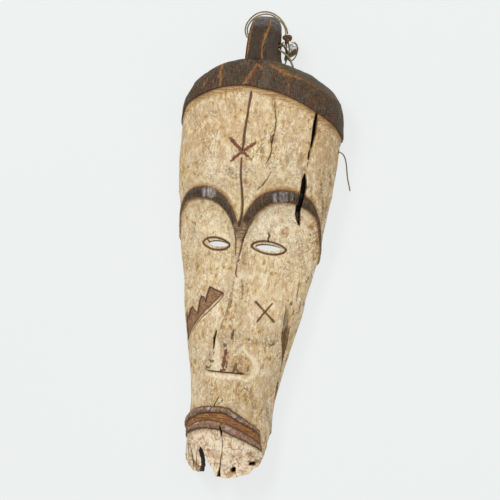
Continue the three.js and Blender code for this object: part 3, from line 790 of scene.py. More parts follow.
# %% Measure strokes and outlines
def inside_strokes(strokes, s, y):
    """Millimetres inside the nearest stroke's edge. It is negative outside."""
    best = np.full(np.shape(s), -99.0)
    for stroke in strokes:
        for (s0, y0, w0), (s1, y1, w1) in zip(stroke, stroke[1:] or stroke):
            ds, dy = s1 - s0, y1 - y0
            t = np.clip(((s - s0) * ds + (y - y0) * dy) / max(1e-6, ds * ds + dy * dy), 0, 1)
            gap = np.hypot(s - s0 - t * ds, y - y0 - t * dy)
            best = np.maximum(best, (w0 + (w1 - w0) * t) / 2 - gap)
    return best


def inside_outline(outline, s, y):
    """Millimetres inside a closed outline. It is negative outside."""
    ring = list(outline) + [outline[0]]
    gap = np.full(np.shape(s), 99.0)
    inner = np.zeros(np.shape(s), bool)
    for (s0, y0), (s1, y1) in zip(ring, ring[1:]):
        ds, dy = s1 - s0, y1 - y0
        t = np.clip(((s - s0) * ds + (y - y0) * dy) / max(1e-6, ds * ds + dy * dy), 0, 1)
        gap = np.minimum(gap, np.hypot(s - s0 - t * ds, y - y0 - t * dy))
        crosses = (y0 > y) != (y1 > y)
        inner ^= crosses & (s < s0 + (y - y0) / (dy if dy else 1e-9) * ds)
    return np.where(inner, gap, -gap)


def mottle(s, y, across, along, seed):
    """Smooth random hills, about one in each across by along millimetres, from -1 to 1."""
    table = np.random.default_rng(seed).uniform(-1, 1, (128, 128))
    u, v = s / across + 64, y / along + 64
    i, j = np.floor(u).astype(int), np.floor(v).astype(int)
    a, b = ease(u - i), ease(v - j)

    def at(di, dj):
        return table[(i + di) % 128, (j + dj) % 128]
    return (at(0, 0) * (1 - a) + at(1, 0) * a) * (1 - b) + (at(0, 1) * (1 - a) + at(1, 1) * a) * b


def almond(middle, half, rise, skew=-0.4, count=26):
    """An eye's outline: two arcs that meet in points, the upper one pushed a little to the left."""
    outline = []
    for a in np.arange(count) / count * 2 * math.pi:
        up = rise * math.sin(a) * abs(math.sin(a)) ** 0.35
        outline.append((middle[0] + half * math.cos(a) + skew * up, middle[1] + up))
    return outline


print("inside a stroke 4 mm wide:", float(inside_strokes([[(0, 0, 4), (10, 0, 4)]], 5.0, 1.0)), "mm")


# %% [markdown]
# ### Eyes, cracks and cuts
# Every line that was cut or has split open is a stroke, placed from the picture. Wide, deep splits
# are apart from hair cracks, because only the first are dark all the way down.

# %% Eyes, cracks and cuts
EYES = {  # where each eye slit and the cut rim round it lie
    "left": {"slit": ((-29.8, -0.6), 11.4, 2.8), "rim": ((-33.4, -1.2), 19.2, 7.2)},
    "right": {"slit": ((33.6, -0.6), 14.2, 2.9), "rim": ((35.0, -1.0), 21.2, 7.3)},
}
OPEN_CRACKS = [
    [(80.2, 160.4, 2.2), (80.9, 153.5, 3.6), (80.9, 146, 4.0), (80.8, 136, 3.6), (80.1, 126.7, 2.4),
     (79.1, 118.4, 1.2), (77.9, 106.2, 0.9)],
    [(75.3, 88, 1.0), (75.3, 82, 4.4), (74.8, 74, 6.0), (73.0, 64, 5.4), (71.0, 57, 4.6), (69.0, 50, 5.8),
     (68.2, 42, 5.8), (69.4, 35, 4.4), (70.9, 29, 1.0)],
    [(-14.2, -104, 0.9), (-15.2, -109, 2.8), (-16.4, -113.5, 3.4), (-15.8, -119.3, 2.8),
     (-14.8, -124.6, 1.2)],
    [(1.6, -215, 0.9), (2.2, -220, 2.2), (3.0, -226, 0.9)],
    [(3.2, -263, 0.8), (2.5, -271, 3.0), (2.3, -276, 4.2)],
    [(19.4, -264.0, 4.9), (20.2, -263.5, 4.5)],
    [(39.5, -254.6, 2.6), (44.5, -253.6, 3.0)],
]
GOUGE = [
    [(66.2, -71, 0.8), (67.4, -78, 5.0), (68.2, -85, 6.6), (69.4, -92, 7.2), (70.0, -98, 8.4),
     (71.2, -111, 7.0), (72.6, -122, 4.4), (74.6, -131.5, 1.0)],
]
PLATE = [[(66.2, -72, 0.8), (67.2, -79, 4.6), (68.0, -86, 5.6), (68.2, -93, 4.6), (68.4, -97, 1.6)]]
FINE_CRACKS = [
    [(65.2, -92, 1.2), (66.0, -104, 1.8), (69.2, -116, 1.4), (72.6, -130, 1.4), (74.4, -142, 1.0)],
    [(74.4, -90, 1.2), (75.2, -104, 1.6), (74.8, -118, 1.2)],
    [(29.5, 170, 0.9), (30.5, 162, 1.2), (33.9, 148.2, 1.5), (34.7, 138, 1.2), (33.2, 128, 1.5),
     (32.8, 120, 1.7), (33.8, 113, 1.4), (32.7, 104.2, 1.3), (30, 98, 1.1), (27.8, 94, 0.8)],
    [(35.7, 86.7, 0.8), (31.2, 78.4, 1.2), (26.2, 71.6, 1.2), (18.5, 64.7, 0.8)],
    [(34.0, 6.2, 2.2), (33.7, 10.1, 1.8), (35.6, 13.0, 2.6), (33.5, 15.9, 2.2)],
    [(-3.6, -180.6, 0.9), (-7.6, -188.4, 1.2), (-11, -195, 1.4), (-12.4, -199, 1.0)],
    [(1.8, -184.4, 0.8), (-4, -190, 0.9)],
    [(3.0, -225, 0.9), (5.0, -234.4, 0.9), (4.6, -244, 0.8), (4.0, -252, 1.2), (3.2, -263, 1.2)],
    [(74.0, -134, 1.2), (74.6, -150, 1.0), (73.5, -163, 0.8)],
    [(65.0, -66, 1.2), (66.5, -90, 1.0)],
    [(78.8, 104, 1.0), (76.5, 92, 0.8)],
    [(84, -60, 1.0), (84.6, -84, 0.8)],
    [(76, -36, 1.0), (77.5, -58, 1.2)],
    [(-38, -246, 1.2), (-34, -258, 1.4), (-33, -268, 1.0)],
    [(-46, -240, 1.2), (-43, -256, 1.4)],
    [(-30, -250, 1.0), (-28, -262, 1.4)],
]
CUT_LINES = [
    [(-1.2, 180, 1.8), (-1.0, 175, 3.4), (-1.6, 166, 2.6), (-2.1, 145.7, 2.6), (-2.1, 129.6, 3.2),
     (-1.4, 119, 3.0), (-2.0, 109, 2.4)],
    [(-1.7, 100, 1.8), (-1.5, 92.5, 2.0), (-1.5, 77, 2.4), (0, 61.8, 2.8), (1.2, 49.1, 2.6), (1.3, 38, 2.6),
     (0.4, 30, 3.4), (-0.9, 22, 3.0)],
    [(-7.4, 14.5, 1.0), (-4.8, 5.2, 1.5), (-4.2, -4, 1.4), (-3.7, -13, 1.2)],
    [(8.2, 15.8, 0.8), (5.0, 8.6, 1.2), (2.8, -3.1, 1.4), (0.8, -13.8, 1.2)],
    [(-1.2, -23.1, 1.0), (-1.2, -34.8, 1.5), (1.2, -39.2, 0.9)],
    [(-26.6, -148.5, 0.6), (-20.8, -151.6, 1.0), (-5, -151.8, 1.4), (14.5, -151.4, 1.4),
     (21.6, -151.4, 1.8), (24, -150.2, 0.8)],
    [(27.3, -64.8, 2.4), (39.8, -75.3, 1.7), (53.0, -86.3, 2.2)],
    [(47.3, -64.8, 1.6), (39.8, -76.6, 1.8), (33.2, -87.7, 1.9)],
]
RIMS, SLITS = ([almond(*eye[part]) for eye in EYES.values()] for part in ("rim", "slit"))
CUT_LINES += [[(s, y, 2.1) for s, y in outline + outline[:1]] for outline in RIMS]
SLIT_EDGES = [[(s, y, 2.2) for s, y in outline + outline[:1]] for outline in SLITS]
SLIT_EDGES += [[(-47, 3.6, 1.2), (-43.5, 0.8, 2.8), (-39, -1.6, 3.2), (-34.5, -2.2, 1.6)]]
print(len(OPEN_CRACKS), "splits,", len(FINE_CRACKS), "hair cracks,", len(CUT_LINES), "cut lines")


# %% [markdown]
# ### Painted strokes and stains
# The red-brown strokes, the patch beside the nose and the stains stay apart from the cuts, because paint
# has colour but next to no depth. The toothed scar is an outline, since it is a filled shape.

# %% Painted strokes and stains
RED_STROKES = [
    [(-19.2, 122.2, 3.0), (-15.5, 119.2, 4.6), (-8, 113, 4.2), (-2, 108.4, 4.8), (4.7, 103.3, 3.6),
     (11.2, 98.2, 2.6)],
    [(13.2, 119, 2.6), (9.6, 116.4, 4.0), (3, 111.4, 3.2), (-3, 106.4, 3.6), (-9, 101.2, 4.2),
     (-14.6, 95.8, 3.2)],
    [(1.7, -124.4, 2.0), (1.4, -128.6, 4.2), (0.9, -132.4, 2.8), (0.6, -138, 4.0), (-0.4, -143.4, 3.6),
     (-0.9, -147, 2.4)],
    [(1.2, -130, 2.0), (4.6, -128.6, 1.4)],
    [(-3.4, -150, 3.0), (1.6, -149.4, 2.4)],
]
WING = [
    (5, -130), (9, -135), (16, -128), (25, -129), (30.5, -135), (30.8, -144), (26, -149.6), (8, -150),
    (4.6, -141),
]
PALE_STROKES = [
    [(13.6, -130, 2.0), (17.5, -124, 4.0), (20.9, -119.6, 4.0)],
    [(21.8, -123.6, 3.0), (29, -129.6, 4.4), (35.4, -134.5, 7.0), (38.2, -142.7, 8.0), (34.4, -153, 6.0),
     (27.5, -159, 4.0)],
    [(-12.5, -112, 2.4), (-10.4, -118, 5.6), (-8.6, -126, 6.4), (-8.8, -133, 8.0), (-8.6, -142, 8.8),
     (-8.4, -149, 8.8)],
    # painted highlight: a pale band just under the nose's foot, where the upper lip faces the light
    [(-25, -155.5, 2.4), (-10, -157, 5.0), (8, -157, 5.0), (20, -156, 3.6)],
    [(52, 36, 2.4), (64, 22, 5.0), (62, 10, 2.0)],
    [(61.4, -204, 2.2), (65, -214, 3.6), (64.6, -224, 2.4)],
]
FLECKS = [
    [(14.2, -140.6, 2.4), (13.6, -145.6, 3.8), (12.4, -149.6, 3.2)],
    [(15.4, -146.6, 1.8), (17.9, -150, 2.8), (20.9, -150.8, 2.2)],
    [(28, -147.6, 1.4), (28.4, -143.2, 2.0)],
    [(18.6, -134.9, 1.8)],
    [(3.6, -139, 1.6), (3.2, -146, 2.4)],
    [(24.5, -132.9, 1.8)],
    [(-19.8, -138.6, 1.6), (-16.1, -140.4, 2.4), (-12.7, -139.3, 1.6)],
    [(-19.4, -133.4, 1.6)],
    [(-12.9, -129.5, 1.6), (-13.2, -133, 1.2)],
    [(-23.3, -146.8, 1.6), (-18.8, -148.2, 2.2), (-16.2, -145.6, 1.4)],
    [(8.0, -102.4, 1.8), (7.4, -106, 2.4), (7.0, -110.6, 2.4)],
    [(54.9, -113.4, 2.6), (52.6, -114.2, 1.6)],
    [(45.4, -117.8, 2.4)],
    [(25.9, -110.5, 1.6)],
    [(90.2, -92, 2.2), (92.4, -95, 2.6)],
    [(70.9, -62.6, 2.4)],
    [(75.5, -70, 1.4), (76, -75, 1.4)],
    [(80.5, -72, 1.4)],
    [(66.2, -58.7, 1.8)],
    [(76, -157, 5.0), (77.4, -165, 8.0), (78.6, -172.5, 7.0)],
    [(85.3, 20.3, 1.8)],
    [(87.7, -27.5, 2.0), (85.6, -35.8, 1.6)],
    [(77.8, -12.4, 1.6)],
    [(0.4, -18, 1.6), (-1.2, -20.5, 2.2)],
    [(30.0, 127, 1.6), (32.5, 121, 2.2)],
    [(-66, 30, 1.4)],
    [(114, 66.7, 2.6)],
    [(110, 47, 2.2), (108.6, 43, 1.4)],
]
BROWN_STAINS = [
    [(-2.4, -50, 1.4), (-2.0, -66, 2.6), (-2.6, -80, 2.0), (-5.4, -94, 1.4), (-8.0, -103, 0.8)],
    [(-24, -146, 2.4), (-20, -150.8, 1.6)],
    [(-21, -128, 2.0), (-19.4, -134, 1.8)],
    [(-16.5, -136, 1.4), (-17, -142, 1.8)],
    [(13.5, -133, 1.6), (15.0, -131.6, 1.2)],
    [(19, -138, 1.4), (21, -141, 1.6)],
    [(8, -109, 1.4), (9.2, -116, 2.0)],
    [(-2.7, -41.7, 1.0), (-1.2, -56.3, 2.4), (-0.4, -70, 3.2), (-1.6, -80.7, 2.2), (-2.4, -93.4, 1.2)],
    [(6.7, -39.7, 1.0), (9.4, -52, 2.0), (10.6, -63.6, 1.0)],
    [(78, -159.3, 2.0), (82, -166, 3.6), (86.1, -172.4, 3.0)],
    [(91.2, -24.5, 1.6), (91.4, -30.5, 2.2)],
    [(90.4, -57, 1.6), (90.6, -62, 2.0)],
    [(70.9, -60, 2.6), (71.4, -64, 3.2)],
    [(76, -68, 1.2), (76.4, -75, 1.8), (77, -80, 1.0)],
    [(76.4, -86, 1.8), (77, -92, 1.2)],
    [(80, -104, 1.6)],
    [(93.8, 15, 2.0), (94, 10, 2.0)],
    [(33, 128, 5.0), (33.5, 122, 4.0)],
    [(99.5, 64, 2.4), (100.5, 50, 3.0), (100, 40, 1.6)],
    [(96, 84, 1.6), (97, 70, 2.2)],
    # darker brown along the lower right edge of the face
    [(76, -206, 4.0), (73, -219, 9.0), (68.5, -229, 10.0), (63, -237, 6.0)],
    [(36.6, -251.5, 2.4), (42, -253.6, 5.4), (48.6, -250.4, 4.0)],
    [(-38, -252, 1.4), (-31.5, -261, 4.0), (-24.5, -267.5, 8.0)],
]
SCAR = [  # the toothed scar on the left cheek
    (-36.4, -51.4), (-27, -54.8), (-16.1, -57.8), (-14.9, -60.7), (-19.2, -67), (-30.3, -80.2),
    (-40.5, -90), (-49.7, -99.7), (-59.8, -111), (-66.5, -118), (-69, -108), (-72.5, -95), (-73, -84),
    (-68, -92.5), (-64.5, -80), (-60, -77), (-56, -80.5), (-48.4, -85.5), (-48.6, -73), (-47, -63.8),
    (-42.5, -64.8), (-38.9, -70.5), (-38, -59.5),
]
print(len(RED_STROKES), "red strokes,", len(BROWN_STAINS), "stains,", len(FLECKS), "flecks")


# %% [markdown]
# ## Carving
# Each form is a height over the bare shell, along the outward direction: first the sunk eye planes and
# the low nose. Knife facets break up every raised form, because a hand-carved edge is never even.

# %% Eye planes and nose
EYE_RECESS = 3.4
NOSE_HALF = smooth([(-151, 25), (-140, 21), (-120, 13), (-95, 8), (-50, 4.5), (-10, 3.5), (30, 4)])
NOSE_LIFT = smooth([(-151, 2.2), (-130, 4.6), (-95, 7), (-60, 4), (-30, 2), (0, 2.5), (26, 0)])


def face_planes(s, y):
    """The sunk planes round the eyes, and the low ridge of the nose between them."""
    from_nose = np.abs(s) - NOSE_HALF(y)
    under = ease((BROW_LOWER(s) + 3 - y) / 18) * (1 - ease((-55 - y) / 70))
    planes = -EYE_RECESS * under * ease(from_nose / 11) * (1 - ease((np.abs(s - 2) - 62) / 34))
    ridge = NOSE_LIFT(y) * (1 - ease((from_nose + 5) / 13)) * ease((30 - y) / 12)
    return planes + ridge * wall(y - NOSE_FOOT)


def knife(s, y, across, along, seed):
    """Flat cuts with edges between them, as a blade leaves."""
    a, b = mottle(s, y, across, along, seed), mottle(s, y, across, along, seed + 1)
    return np.abs(a - b) - 0.5


print("the nose is", 2 * float(NOSE_HALF(NOSE_FOOT)), "mm wide at its foot")


# %% [markdown]
# ### Brows, lips and cap
# A raised form has a profile across it: steep at the lower edge, full in the middle, falling off above.
# It fades towards its ends, and knife facets and chips are laid over it.

# %% Raised forms
BROW_HEIGHT, UPPER_LIP_HEIGHT, LOWER_LIP_HEIGHT, MOUTH_HEIGHT, CAP_LIFT = 4.0, 4.4, 4.0, 1.4, 3.6
LIPS_LEFT = -66


def brow_parts(s, y):
    """How far a place is over the brow's lower edge, under its upper edge, and inside it."""
    low, high = over(BROW_LOWER, s, y), -over(BROW_UPPER, s, y)
    ends = np.minimum(107 - s, s + 99.5)
    return low, high, np.minimum(np.minimum(low, high), ends)


def brow_height(s, y):
    """The brows, thinner at their ends and where they meet."""
    low, high, within = brow_parts(s, y)
    t = np.clip(low / np.maximum(0.1, low + high), 0, 1)
    profile = np.interp(t, [0, 0.22, 0.6, 1], [0.72, 1.0, 1.0, 0.62])
    thin = 1 - 0.45 * ease((np.abs(s - 2) - 78) / 20)
    middle = 1 - 0.55 * np.exp(-((s - 0.5) / 2.6) ** 2)
    facets = 0.8 * knife(s, y, 7, 26, 11) + 0.25 * mottle(s, y, 2.2, 3.0, 12)
    return (BROW_HEIGHT * profile + facets) * thin * middle * wall(within)


def band(lower, upper, s, y):
    """How far a place is up the band between two guides, and how far inside it."""
    low, high = over(lower, s, y), -over(upper, s, y)
    within = np.minimum(np.minimum(low, high), np.minimum(lip_end(y) - s, s - LIPS_LEFT))
    return np.clip(low / np.maximum(0.1, low + high), 0, 1), within


def lip_end(y):
    """The lips stop on a slanted line at the right."""
    return 48 - (y + 214) * 0.22


def mouth_height(s, y):
    """Both lips and the wood between them, lower towards the ends."""
    low = 0.35 + 0.65 * ease((lip_end(y) - s) / 14)
    chips = 0.6 * knife(s, y, 5, 7, 21) + 0.45 * mottle(s, y, 2, 2, 22)
    t, within = band(LIP_TOP_EDGE, LIP_TOP, s, y)
    profile = np.interp(t, [0, 0.25, 0.6, 1], [0.7, 1.0, 1.1, 0.75])
    upper = (UPPER_LIP_HEIGHT * profile * low + chips) * wall(within, 0.9)
    t, within = band(LIP_LOW, LIP_LOW_EDGE, s, y)
    low_left = low * (1 - 0.6 * ease((-46 - s) / 11))
    profile = np.interp(t, [0, 0.3, 0.7, 1], [0.8, 1.05, 1.0, 0.7])
    lower = (LOWER_LIP_HEIGHT * profile * low_left + chips) * wall(within, 0.9)
    t, within = band(LIP_LOW_EDGE, LIP_TOP_EDGE, s, y)
    swell = 0.6 * np.sin(t * math.pi) + 0.45 * np.sin(t * 5 * math.pi)
    between = (MOUTH_HEIGHT + swell) * low * wall(within)
    return upper + lower + between


def cap_height(s, y):
    """The cap with its worn ridge, and the ochre strip that rises to it."""
    edge = over(CAP_EDGE, s, y)
    uneven = 0.3 * mottle(s, y, 9, 9, 31)
    strip = (0.5 + 1.3 * ease((edge + STRIP) / STRIP)) * wall(edge + STRIP + uneven, 0.8)
    facets = 0.45 * knife(s, y, 7, 26, 32) + 0.2 * mottle(s, y, 1.6, 14, 33)
    facets = facets + 0.9 * np.exp(-((y - CAP_RIDGE(s)) / 2.2) ** 2)
    on_cap = wall(edge, 0.7)
    return np.where(edge > 0, CAP_LIFT + facets * ease(edge / 2), 0) * on_cap + strip * (1 - on_cap)


print("the brow is", round(float(brow_height(np.array(50.0), np.array(60.0))), 1),
      "mm high over the right eye")


# %% [markdown]
# ### Cuts and tool marks
# Cuts go down by a depth of their own. The splits are cut deep, and they are painted near black inside as
# painted shade. Soft facets all over the face are the last marks of the knife under the clay.

# %% Cuts and tool marks
EYE_RIM_DEPTH, SPLIT_DEPTH, GOUGE_DEPTH, HAIR_DEPTH, LINE_DEPTH = 1.6, 9.5, 3.2, 0.8, 0.7
RED_DEPTH, SCAR_DEPTH = 0.45, 1.1


def eye_rims(s, y):
    """The rim round each eye slit is a shallow dish with a sharp groove round it."""
    depth = np.zeros(np.shape(s))
    for eye in EYES.values():
        within = inside_outline(almond(*eye["rim"], count=60), s, y)
        depth += EYE_RIM_DEPTH * ease(within / 6) + 0.7 * np.exp(-(within / 0.9) ** 2)
    return -depth


def cuts(s, y):
    """Splits, the gouge, hair cracks, cut lines, strokes and the scar."""
    crack = inside_strokes(OPEN_CRACKS, s, y)
    deep = -SPLIT_DEPTH * ease((crack + 0.35) / 1.3)
    gouge = inside_strokes(GOUGE, s, y)
    long_cut = -GOUGE_DEPTH * ease((gouge + 0.3) / 3.2)
    fine = -HAIR_DEPTH * wall(inside_strokes(FINE_CRACKS, s, y), 1.2)
    lines = -LINE_DEPTH * wall(inside_strokes(CUT_LINES, s, y), 1.4)
    red = -RED_DEPTH * wall(inside_strokes(RED_STROKES, s, y), 1.6)
    scar = inside_outline(SCAR, s, y)
    scar_cut = -SCAR_DEPTH * wall(scar, 1.4) - 0.35 * wall(scar, 1.0) * (0.5 + mottle(s, y, 4, 4, 41))
    return deep + long_cut + fine + lines + red + scar_cut


def tool_marks(s, y):
    """Knife facets everywhere, and flakes on the chin."""
    soft = 0.55 * knife(s, y, 13, 34, 51) + 0.25 * mottle(s, y, 4, 9, 53) + 0.16 * mottle(s, y, 1.5, 4, 54)
    chin = ease((-238 - y) / 6)
    flakes = 0.5 * knife(s, y, 6, 6, 55) + 0.35 * knife(s, y, 2.6, 3, 57)
    return soft + chin * flakes


def carved_height(s, y):
    """Everything together, fading out at the rim."""
    raised = brow_height(s, y) + mouth_height(s, y) + cap_height(s, y)
    rim = outside.length(y) - np.abs(s)
    total = face_planes(s, y) + raised + eye_rims(s, y) + cuts(s, y) + tool_marks(s, y)
    return total * ease(rim / 5)


height = carved_height(S, Y)
print("relief runs from", round(float(height.min()), 1), "to", round(float(height.max()), 1), "mm")


# %% [markdown]
# ## One closed mesh
# Every row of the skin is carried on round the rim and back through the hollow, so each row is a ring and
# the rings make a tube, closed by one face at each end. The hollow is cut with an adze, so it gets wide,
# shallow scallops, and it is coarser than the face.

# %% Points of the shell
HOLLOW_COLUMNS = 44
ADZE_DEPTH = 0.9
skin = outside.point(S, Y) + outside.outward(S, Y) * height[..., None]
skin[..., 2] = np.maximum(0, skin[..., 2])
skin[:, [0, -1], 2] = 0

around = np.linspace(1, -1, HOLLOW_COLUMNS)
inner_y = Y[:, :1] + (Y[:, -1:] - Y[:, :1]) * (around + 1) / 2
inner_s = around * inside.length(inner_y)
hollow = inside.point(inner_s, inner_y)
scallops = ADZE_DEPTH * knife(inner_s, inner_y, 14, 22, 61) * ease((1 - np.abs(around)) * 12)
hollow += inside.outward(inner_s, inner_y) * scallops[..., None]
closed = inner_y > HOLLOW_END
hollow[..., 2] = np.where(closed, 0, np.maximum(0, hollow[..., 2]))
hollow[..., 0] = np.where(closed, around * 0.8 * skin[:, -1:, 0], hollow[..., 0])
hollow[:, [0, -1], 2] = 0

ring = np.concatenate([skin, hollow], axis=1)
RING = ring.shape[1]
print("rings of", RING, "points")


# %% [markdown]
# ### Rings to a tube
# The rings are joined by four-sided faces. Numpy lists them all at once, much faster than a loop.

# %% Make the shell
def tube(rings, smooth_faces=True, name="tube"):
    """A closed mesh through rings of equal length."""
    rows, count = rings.shape[:2]
    index = np.arange(rows * count).reshape(rows, count)
    a, b = index[:-1], index[1:]
    sides = np.stack([a, np.roll(a, -1, 1), np.roll(b, -1, 1), b], axis=-1).reshape(-1, 4)
    faces = sides.tolist() + [index[0][::-1].tolist(), index[-1].tolist()]
    return mesh_object(name, rings.reshape(-1, 3), faces, smooth_faces)


shell = tube(ring, name="shell")
print("shell:", len(shell.data.polygons), "faces")


# %% [markdown]
# ## What goes right through
# The eye slits, the ragged lower edge with its deep split, and the holes for the fringe go through the
# wood. They are cut by simple solids. A boolean keeps every other point where it was.

# %% Outlines of the cuts
SIGHT_LEAN = (0.36, -0.094)  # across and up, for each millimetre towards the camera
CHIN_FRONT = 47
CHIN_OUTLINE = [
    (-66, -238), (-50, -240), (-48, -249), (-42, -257), (-36, -265), (-29, -271), (-21, -271), (-12, -271),
    (-1, -274), (2.9, -274.4), (6.5, -275), (17.6, -274.2), (27.1, -271.7), (37.8, -268.6), (42.9, -265.4),
    (45.1, -260.6), (50.4, -258.1), (54.4, -251.1), (56.3, -244.4), (58.2, -237.7), (59, -231),
    (60.2, -222), (68, -214),
]
CHIN_NOTCH = [
    (-24.5, -240.5), (-20.5, -243.7), (-14.5, -255.4), (-5.6, -265.7), (-0.8, -276), (-2, -290),
    (-24, -290), (-23, -272), (-21, -262), (-22.5, -254), (-25.5, -246),
]
FRINGE_HOLES = [123, 95, 62, 28, -1, -28, -60, -94, -128, -159]
FRINGE_RADIUS = 2.0
print(2 * len(FRINGE_HOLES), "holes for the fringe")


# %% [markdown]
# ### Cutting solids
# A cutter is a closed solid that reaches well past the wood: a prism for an outline, a round bar for a
# hole. The lower edge and the eye slits were measured in the picture, so their prisms lean along the line
# of sight.

# %% Cutting solids
def ragged(outline, every, amount, seed):
    """The same outline with small uneven steps, as broken wood has."""
    random = np.random.default_rng(seed)
    points = []
    for start, end in zip(outline, outline[1:]):
        count = max(1, round(math.dist(start, end) / every))
        for t in np.arange(count) / count:
            shake = random.uniform(-amount, amount, 2) if points else (0, 0)
            points.append((start[0] + (end[0] - start[0]) * t + shake[0],
                           start[1] + (end[1] - start[1]) * t + shake[1]))
    return points + [outline[-1]]


def prism(name, outline, low, high, grow=1.0, lean=(0.0, 0.0), level=0.0):
    """A solid with a flat outline at the height of level, wider at its foot by grow and slanted by lean."""
    outline = np.array(outline, float)
    middle = outline.mean(axis=0)
    rings = []
    for z, size in ((low, grow), (high, 1.0)):
        moved = middle + (outline - middle) * size + np.array(lean) * (z - level)
        rings.append(np.column_stack([moved, np.full(len(outline), z)]))
    return tube(np.stack(rings), False, name)


def slit(eye, slant):
    """An eye slit: its outline laid on the skin, cut slantwise and wider towards the hollow."""
    outline = np.array(almond(*eye["slit"]))
    on_skin = outside.point(outline[:, 0], outline[:, 1])
    lean = [slant * part for part in SIGHT_LEAN]
    return prism("slit", on_skin[:, :2], 15, 90, 1.22, lean, on_skin[:, 2].mean() - 5)


def pin(x, y, z, length, radius, sides=14):
    """A round bar along x."""
    angle = np.arange(sides) / sides * 2 * math.pi
    ends = [np.column_stack([np.full(sides, x + e * length / 2), y + radius * np.cos(angle),
                             z + radius * np.sin(angle)]) for e in (-1, 1)]
    return tube(np.stack(ends), False, "hole")


def joined(name, objects):
    """One object out of several."""
    with bpy.context.temp_override(active_object=objects[0], selected_editable_objects=objects):
        bpy.ops.object.join()
    objects[0].name = name
    return objects[0]


def outward_faces(made):
    """Turns every face out, which the cuts need."""
    work = bmesh.new()
    work.from_mesh(made.data)
    bmesh.ops.recalc_face_normals(work, faces=work.faces)
    work.to_mesh(made.data)
    work.free()
    return made


def cut(target, cutter):
    """Takes the cutter out of the target and deletes the cutter."""
    step = target.modifiers.new("cut", "BOOLEAN")
    step.operation = "DIFFERENCE"
    step.solver = "EXACT"
    step.object = cutter
    result = bpy.data.meshes.new_from_object(target.evaluated_get(bpy.context.evaluated_depsgraph_get()))
    target.modifiers.clear()
    target.data = result
    bpy.data.objects.remove(cutter)


print("the broken chin has", len(ragged(CHIN_OUTLINE, 2.2, 0.45, 71)), "corners")


# %% [markdown]
# ### Cut the openings
# Cutters of a kind are joined first, so each cut is one boolean. The exact solver is slower than the fast
# one, but it keeps the mesh closed where cutters meet the thin rim.

# %% Cut the openings
outward_faces(shell)
below = ragged(CHIN_OUTLINE, 2.2, 0.45, 71) + [(95, -214), (95, -300), (-95, -300), (-95, -238)]
notch = ragged(CHIN_NOTCH + CHIN_NOTCH[:1], 2.5, 0.35, 72)[:-1]
slits = [slit(EYES["left"], 0.75), slit(EYES["right"], 1.0)]
holes = [pin(side * (half_width(y) - 5), y, 24 if y > 40 else 20, 34, FRINGE_RADIUS)
         for y in FRINGE_HOLES for side in (-1, 1)]
lower_edge = [prism("below", below, -10, 90, lean=SIGHT_LEAN, level=CHIN_FRONT)]
openings = [prism("split", notch, -10, 90)] + slits + holes
for name, solids in (("lower_edge", lower_edge), ("openings", openings)):
    cutter = outward_faces(joined(name, solids))
    before = len(shell.data.polygons)
    cut(shell, cutter)
    print(name, "cut:", before, "faces before,", len(shell.data.polygons), "after")


# %% [markdown]
# ## The tenon
# Above the cap the same block runs on into a short handle with flat sides and worn ridges, pierced across
# for the hanging cord. Each section is a rectangle with cut corners. The ridges carry a mask of their
# own, because there the dark stain has rubbed off down to orange wood.

# %% Make the tenon
TENON = [  # height, middle, width, back and front of each section
    (205, -1.5, 29, 10, 70), (214, -1.8, 28.5, 5, 76), (222, -2.2, 25.8, 8, 79),
    (233, -2.5, 24.6, 15, 79.5), (246, -2.5, 26, 22, 76.5), (258, -2, 28.5, 29, 71.5),
    (267, -1.3, 28, 33.5, 67.5), (272, -1.5, 25.5, 37, 63.5), (274.5, -1.5, 19.5, 41, 59),
]
CORD_HOLE = {"y": 245.0, "z": 32.0, "radius": 4.0}
SIDE_STEPS, CORNER_STEPS = 9, 4
TENON_CORNER = 3.5


def tenon_section(y):
    """One section as points round it, and how near each one is to a ridge."""
    heights = [row[0] for row in TENON]
    x, width, back, front = (np.interp(y, heights, [row[k] for row in TENON]) for k in (1, 2, 3, 4))
    half, corner = width / 2, min(TENON_CORNER, width / 4)
    corners = [(-half, back + corner), (-half + corner, back), (half - corner, back), (half, back + corner),
               (half, front - corner), (half - corner, front), (-half + corner, front),
               (-half, front - corner)]
    points, ridge = [], []
    for k, (start, end) in enumerate(zip(corners, corners[1:] + corners[:1])):
        steps = CORNER_STEPS if k % 2 == 0 else SIDE_STEPS
        for t in np.arange(steps) / steps:
            here = np.array(start) + (np.array(end) - start) * t
            points.append((x + here[0], y, here[1]))
            right, left = math.dist(here, corners[5]), math.dist(here, corners[6])
            broad = 2.2 + 2.4 * math.exp(-((y - 249) / 7) ** 2)
            ridge.append(max(0.0, 1 - right / broad, 1 - left / (2.4 if y > 228 else 1.2)))
    return points, ridge


tenon_heights = np.concatenate([np.arange(205, 272, 1.3), [272, 273.2, 274.2, 274.5]])
tenon_points, tenon_ridges = (np.array(part) for part in zip(*[tenon_section(y) for y in tenon_heights]))
middle = tenon_points.mean(axis=1, keepdims=True)
outwards = tenon_points - middle
outwards /= np.linalg.norm(outwards, axis=-1, keepdims=True)
girth = np.arange(tenon_points.shape[1])[None, :] * 2.0
up_tenon = tenon_heights[:, None]
marks = 0.45 * knife(girth, up_tenon, 7, 18, 81) + 0.15 * mottle(girth, up_tenon, 2, 6, 83)
from_end = ease((274 - tenon_heights) / 3)
tenon_points = tenon_points + outwards * (marks - 0.1)[..., None] * from_end[:, None, None]
tenon = outward_faces(tube(tenon_points, name="tenon"))
cut(tenon, outward_faces(pin(0, CORD_HOLE["y"], CORD_HOLE["z"], 60, CORD_HOLE["radius"], 28)))
print("tenon:", len(tenon.data.polygons), "faces")


# %% [markdown]
# ## Masks for the paint
# The paint knows where it is by masks on the mesh. Most hold a distance in millimetres inside an edge, so
# the shader can draw that edge sharply, roughen it with noise, or grow a stain along it. First comes the
# clay's own colour, from a few large soft patches.

